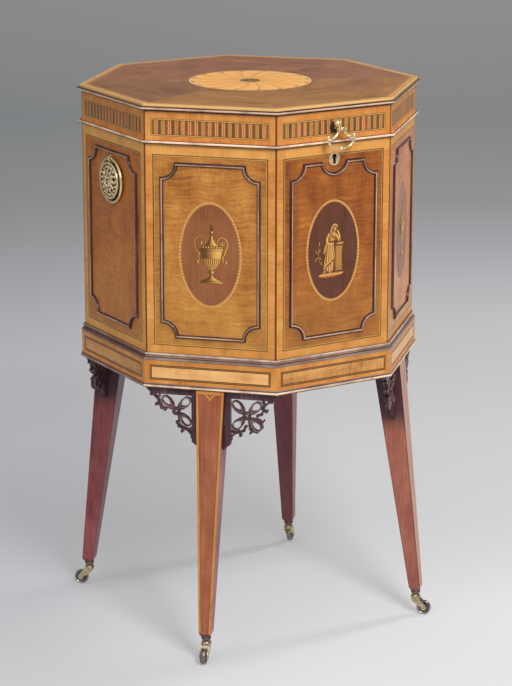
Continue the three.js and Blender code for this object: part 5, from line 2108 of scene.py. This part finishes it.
@dataclass
class Studio:
    """The camera, the pale floor and the lamps, in metres and degrees."""

    camera_place: Place = (-1.711, -2.8546, 1.2832)
    bearing: float = -31.02
    pitch: float = 15.23
    roll: float = 0.067
    lens: float = 131.04
    floor_radius: float = 80.0
    ramp_length: float = 12.0
    aim_height: float = 0.45
    floor_tones: tuple[tuple[float, str, str], ...] = (
        (0.252, "acacad", "b8b8b9"),
        (0.277, "a6a6aa", "bbbbbc"),
        (0.306, "a0a0a4", "b0b1b1"),
        (0.340, "a5a5aa", "aeaeae"),
        (0.383, "a4a4a8", "a9a9a9"),
        (0.408, "9c9ba0", "a8a8a8"),
        (0.436, "949398", "a1a0a4"),
        (0.468, "8c8b8d", "96959a"),
        (0.505, "858586", "8b8b8b"),
        (0.600, "7e8183", "868686"),
        (0.694, "888888", "8c8c8c"),
        (0.812, "8d8d8d", "919191"),
    )
    glow: float = 0.5
    ambient: float = 0.42
    reflected: float = 0.3
    lamps: tuple[Lamp, ...] = (
        Lamp("key", -8.0, 38.0, 2.8, 0.8, 0.64),
        Lamp("fill", -70.0, 30.0, 3.0, 1.8, 0.12),
        Lamp("rim", 91.0, 32.0, 2.8, 0.35, 0.26),
        Lamp("crown", -30.0, 78.0, 2.6, 1.6, 0.19),
    )

    def build(self) -> None:
        """Sets up the whole studio."""
        scene = bpy.context.scene
        scene.view_settings.view_transform = "Standard"
        self.camera()
        self.floor()
        self.world()
        for lamp in self.lamps:
            lamp.hang(Vector((0.0, 0.0, self.aim_height)))

    def camera(self) -> None:
        """Stands the camera at the photograph's place."""
        turn, roll = math.radians(self.bearing), math.radians(self.roll)
        back = away(self.bearing, self.pitch)
        right = Vector((math.cos(turn), math.sin(turn), 0.0))
        up = back.cross(right)
        columns = (math.cos(roll) * right + math.sin(roll) * up, math.cos(roll) * up - math.sin(roll) * right, back)
        data = bpy.data.cameras.new("camera")
        data.lens = self.lens
        data.sensor_width = 36.0
        camera = link("camera", data)
        camera.matrix_world = Matrix.Translation(self.camera_place) @ Matrix(columns).transposed().to_4x4()
        bpy.context.scene.camera = camera

    def floor(self) -> None:
        """A round floor whose grey deepens away from the camera, as the photograph's backdrop does.

        Part of its brightness is its own where it is seen or mirrored, so its shadows stay pale.
        """
        angle = around(96)
        rim = np.stack([np.cos(angle), np.sin(angle), 0 * angle], axis=-1) * self.floor_radius
        mesh = bpy.data.meshes.new("floor")
        mesh.from_pydata(rim.tolist(), [], [list(range(96))])
        link("floor", mesh)
        g = Coating("studio_floor", specular=0.0)
        x, y, _ = g.place()
        x, y = x - self.camera_place[0], y - self.camera_place[1]
        sine, cosine = math.sin(math.radians(-self.bearing)), math.cos(math.radians(self.bearing))
        far = x * sine + y * cosine
        # painted shade: the floor takes its darker left tones on the camera's left, fading to the right tones just
        # past its middle line
        bright = g.fade((x * cosine - y * sine) / far, -0.12, 0.05)
        left, right = (
            g.ramp(far / self.ramp_length, [(row[0], row[k]) for row in self.floor_tones]) for k in (1, 2)
        )
        colour = g.mix(bright, left, right)
        glowing = g.mix(self.shown(g), "000000", colour)
        g.set(Emission_Color=glowing, Emission_Strength=self.glow)
        grain = g.noise(g.read("TexCoord", "Object"), 3.0, 40.0)
        mesh.materials.append(g.dress(colour, 0.9, grain, 0.0001))

    def shown(self, g: Graph) -> Signal:
        """One where the camera, a reflection or clear stuff looks, else zero."""
        seen, glossy, clear = (g.read("LightPath", f"Is {ray} Ray") for ray in ("Camera", "Glossy", "Transmission"))
        return g.most(seen, g.most(glossy, clear))

    def world(self) -> None:
        """Even light from all round, and a plain grey where the camera and glossy things look past the floor."""
        world = bpy.data.worlds.new("studio")
        bpy.context.scene.world = world
        world.use_nodes = True
        tree = world.node_tree
        tree.nodes.clear()
        g = Graph(tree)
        level = g.pick(self.shown(g), self.ambient, self.reflected)
        sky = g.step("Background", {"Color": "ffffff", "Strength": level})
        g.feed(g.add("OutputWorld").inputs["Surface"], sky)


# The whole


BRASS = MetalFinish(
    "aged_brass", "fff4ce", "e6c892", "281e14", 0.22, 0.3, metallic=0.75, stain=0.26
)
BRONZE = MetalFinish("horn_brass", "ffeec4", "c4ae84", "5c5056", 0.24, 0.25)
WHEEL = MetalFinish("castor_wheel", "cec6c4", "807678", "3e323a", 0.3, 0.3)
LEAD = MetalFinish(
    "lead_sheet", "969898", "707274", "bebeb8", 0.5, relief=0.0004, metallic=0.7
)
STEEL = MetalFinish("lock_steel", "96928c", "706c68", "46362a", 0.38)
LID_EDGE = Timber("28140c", "482614", "744626", pores=0.2)


def main() -> None:
    """Builds the studio and every sub-assembly in order."""
    logging.basicConfig(level=logging.INFO, format="%(message)s")
    for make in (facet_effect, timber_effect, oval_effect, polish_effect):
        make()
    Studio().build()
    brass, bronze, iron, lead, steel = (metal.make() for metal in (BRASS, BRONZE, WHEEL, LEAD, STEEL))
    dark = PlainWoodFinish("moulding_wood", DARK_WOOD, Axis.HEIGHT, coat=0.3).make()
    pine = PlainWoodFinish("pine_board", PINE, Axis.ACROSS, gloss=0.6, coat=0.0).make()
    edge = PlainWoodFinish("lid_edge_wood", LID_EDGE, Axis.ACROSS, gloss=0.24, coat=0.2, crest=736.3).make()
    fret = PlainWoodFinish("bracket_wood", FRET_WOOD, Axis.HEIGHT, coat=0.3).make()
    shade = PlainWoodFinish("keyhole_dark", Timber(SHADE, SHADE, SHADE), Axis.HEIGHT, gloss=0.9, coat=0.0).make()
    inlay = InlayFinish().make()
    urn = Oval(Inlay.URN, OVAL_GROUND, 41.3, 69.1, 547.8)
    rosy = Oval(Inlay.URN, OVAL_ROSE, 41.3, 69.1, 547.8)
    figure = Oval(Inlay.FIGURE, OVAL_DUSK, 40.3, 66.8, 549.2, aside=-0.6)
    woods = {
        Side.FRONT: BoardVeneer(RUSSET, HONEY, figure),
        Side.FRONT_RIGHT: BoardVeneer(ROSY, HONEY, rosy),
        Side.RIGHT: BoardVeneer(CHESTNUT, HONEY),
        Side.BACK_RIGHT: BoardVeneer(GOLDEN, SATINWOOD, urn),
        Side.BACK: BoardVeneer(RUSSET, HONEY, urn),
        Side.BACK_LEFT: BoardVeneer(GOLDEN, SATINWOOD, urn),
        Side.LEFT: BoardVeneer(CHESTNUT, SATINWOOD),
        Side.FRONT_LEFT: BoardVeneer(GOLDEN, HONEY, urn),
    }
    Carcass().dress(woods, dark, inlay)
    paint(LidTopFinish().make(), "lid_board")
    paint(LidFriezeFinish().make(), "lid_rail")
    paint(edge, "lid_edge_moulding")
    paint(StandFinish().make(), "stand_frame")
    paint(LegFinish().make(), *(f"leg_{side.word}" for side in CORNERS))
    paint(pine, "carcass_floor", *(f"bottle_slat_{hand}" for hand in ("front", "back", "left", "right")))
    paint(lead, "lead_liner")
    paint(steel, "lock_case", "lock_bolt", "lock_link_plate")
    paint(brass, *(f"hinge_leaf_{level}_{hand}" for level in ("upper", "lower") for hand in ("left", "right")))
    Escutcheon().build(brass, shade)
    FrontHandle().build(brass)
    for side in (Side.RIGHT, Side.LEFT):
        LionMask().build(side, brass)
    for side in CORNERS:
        Castor().build(side, bronze, iron)
        FretBracket().build(side, False, True, fret)
        FretBracket().build(side, True, side is not Side.FRONT_LEFT, fret)


if __name__ == "__main__":
    main()
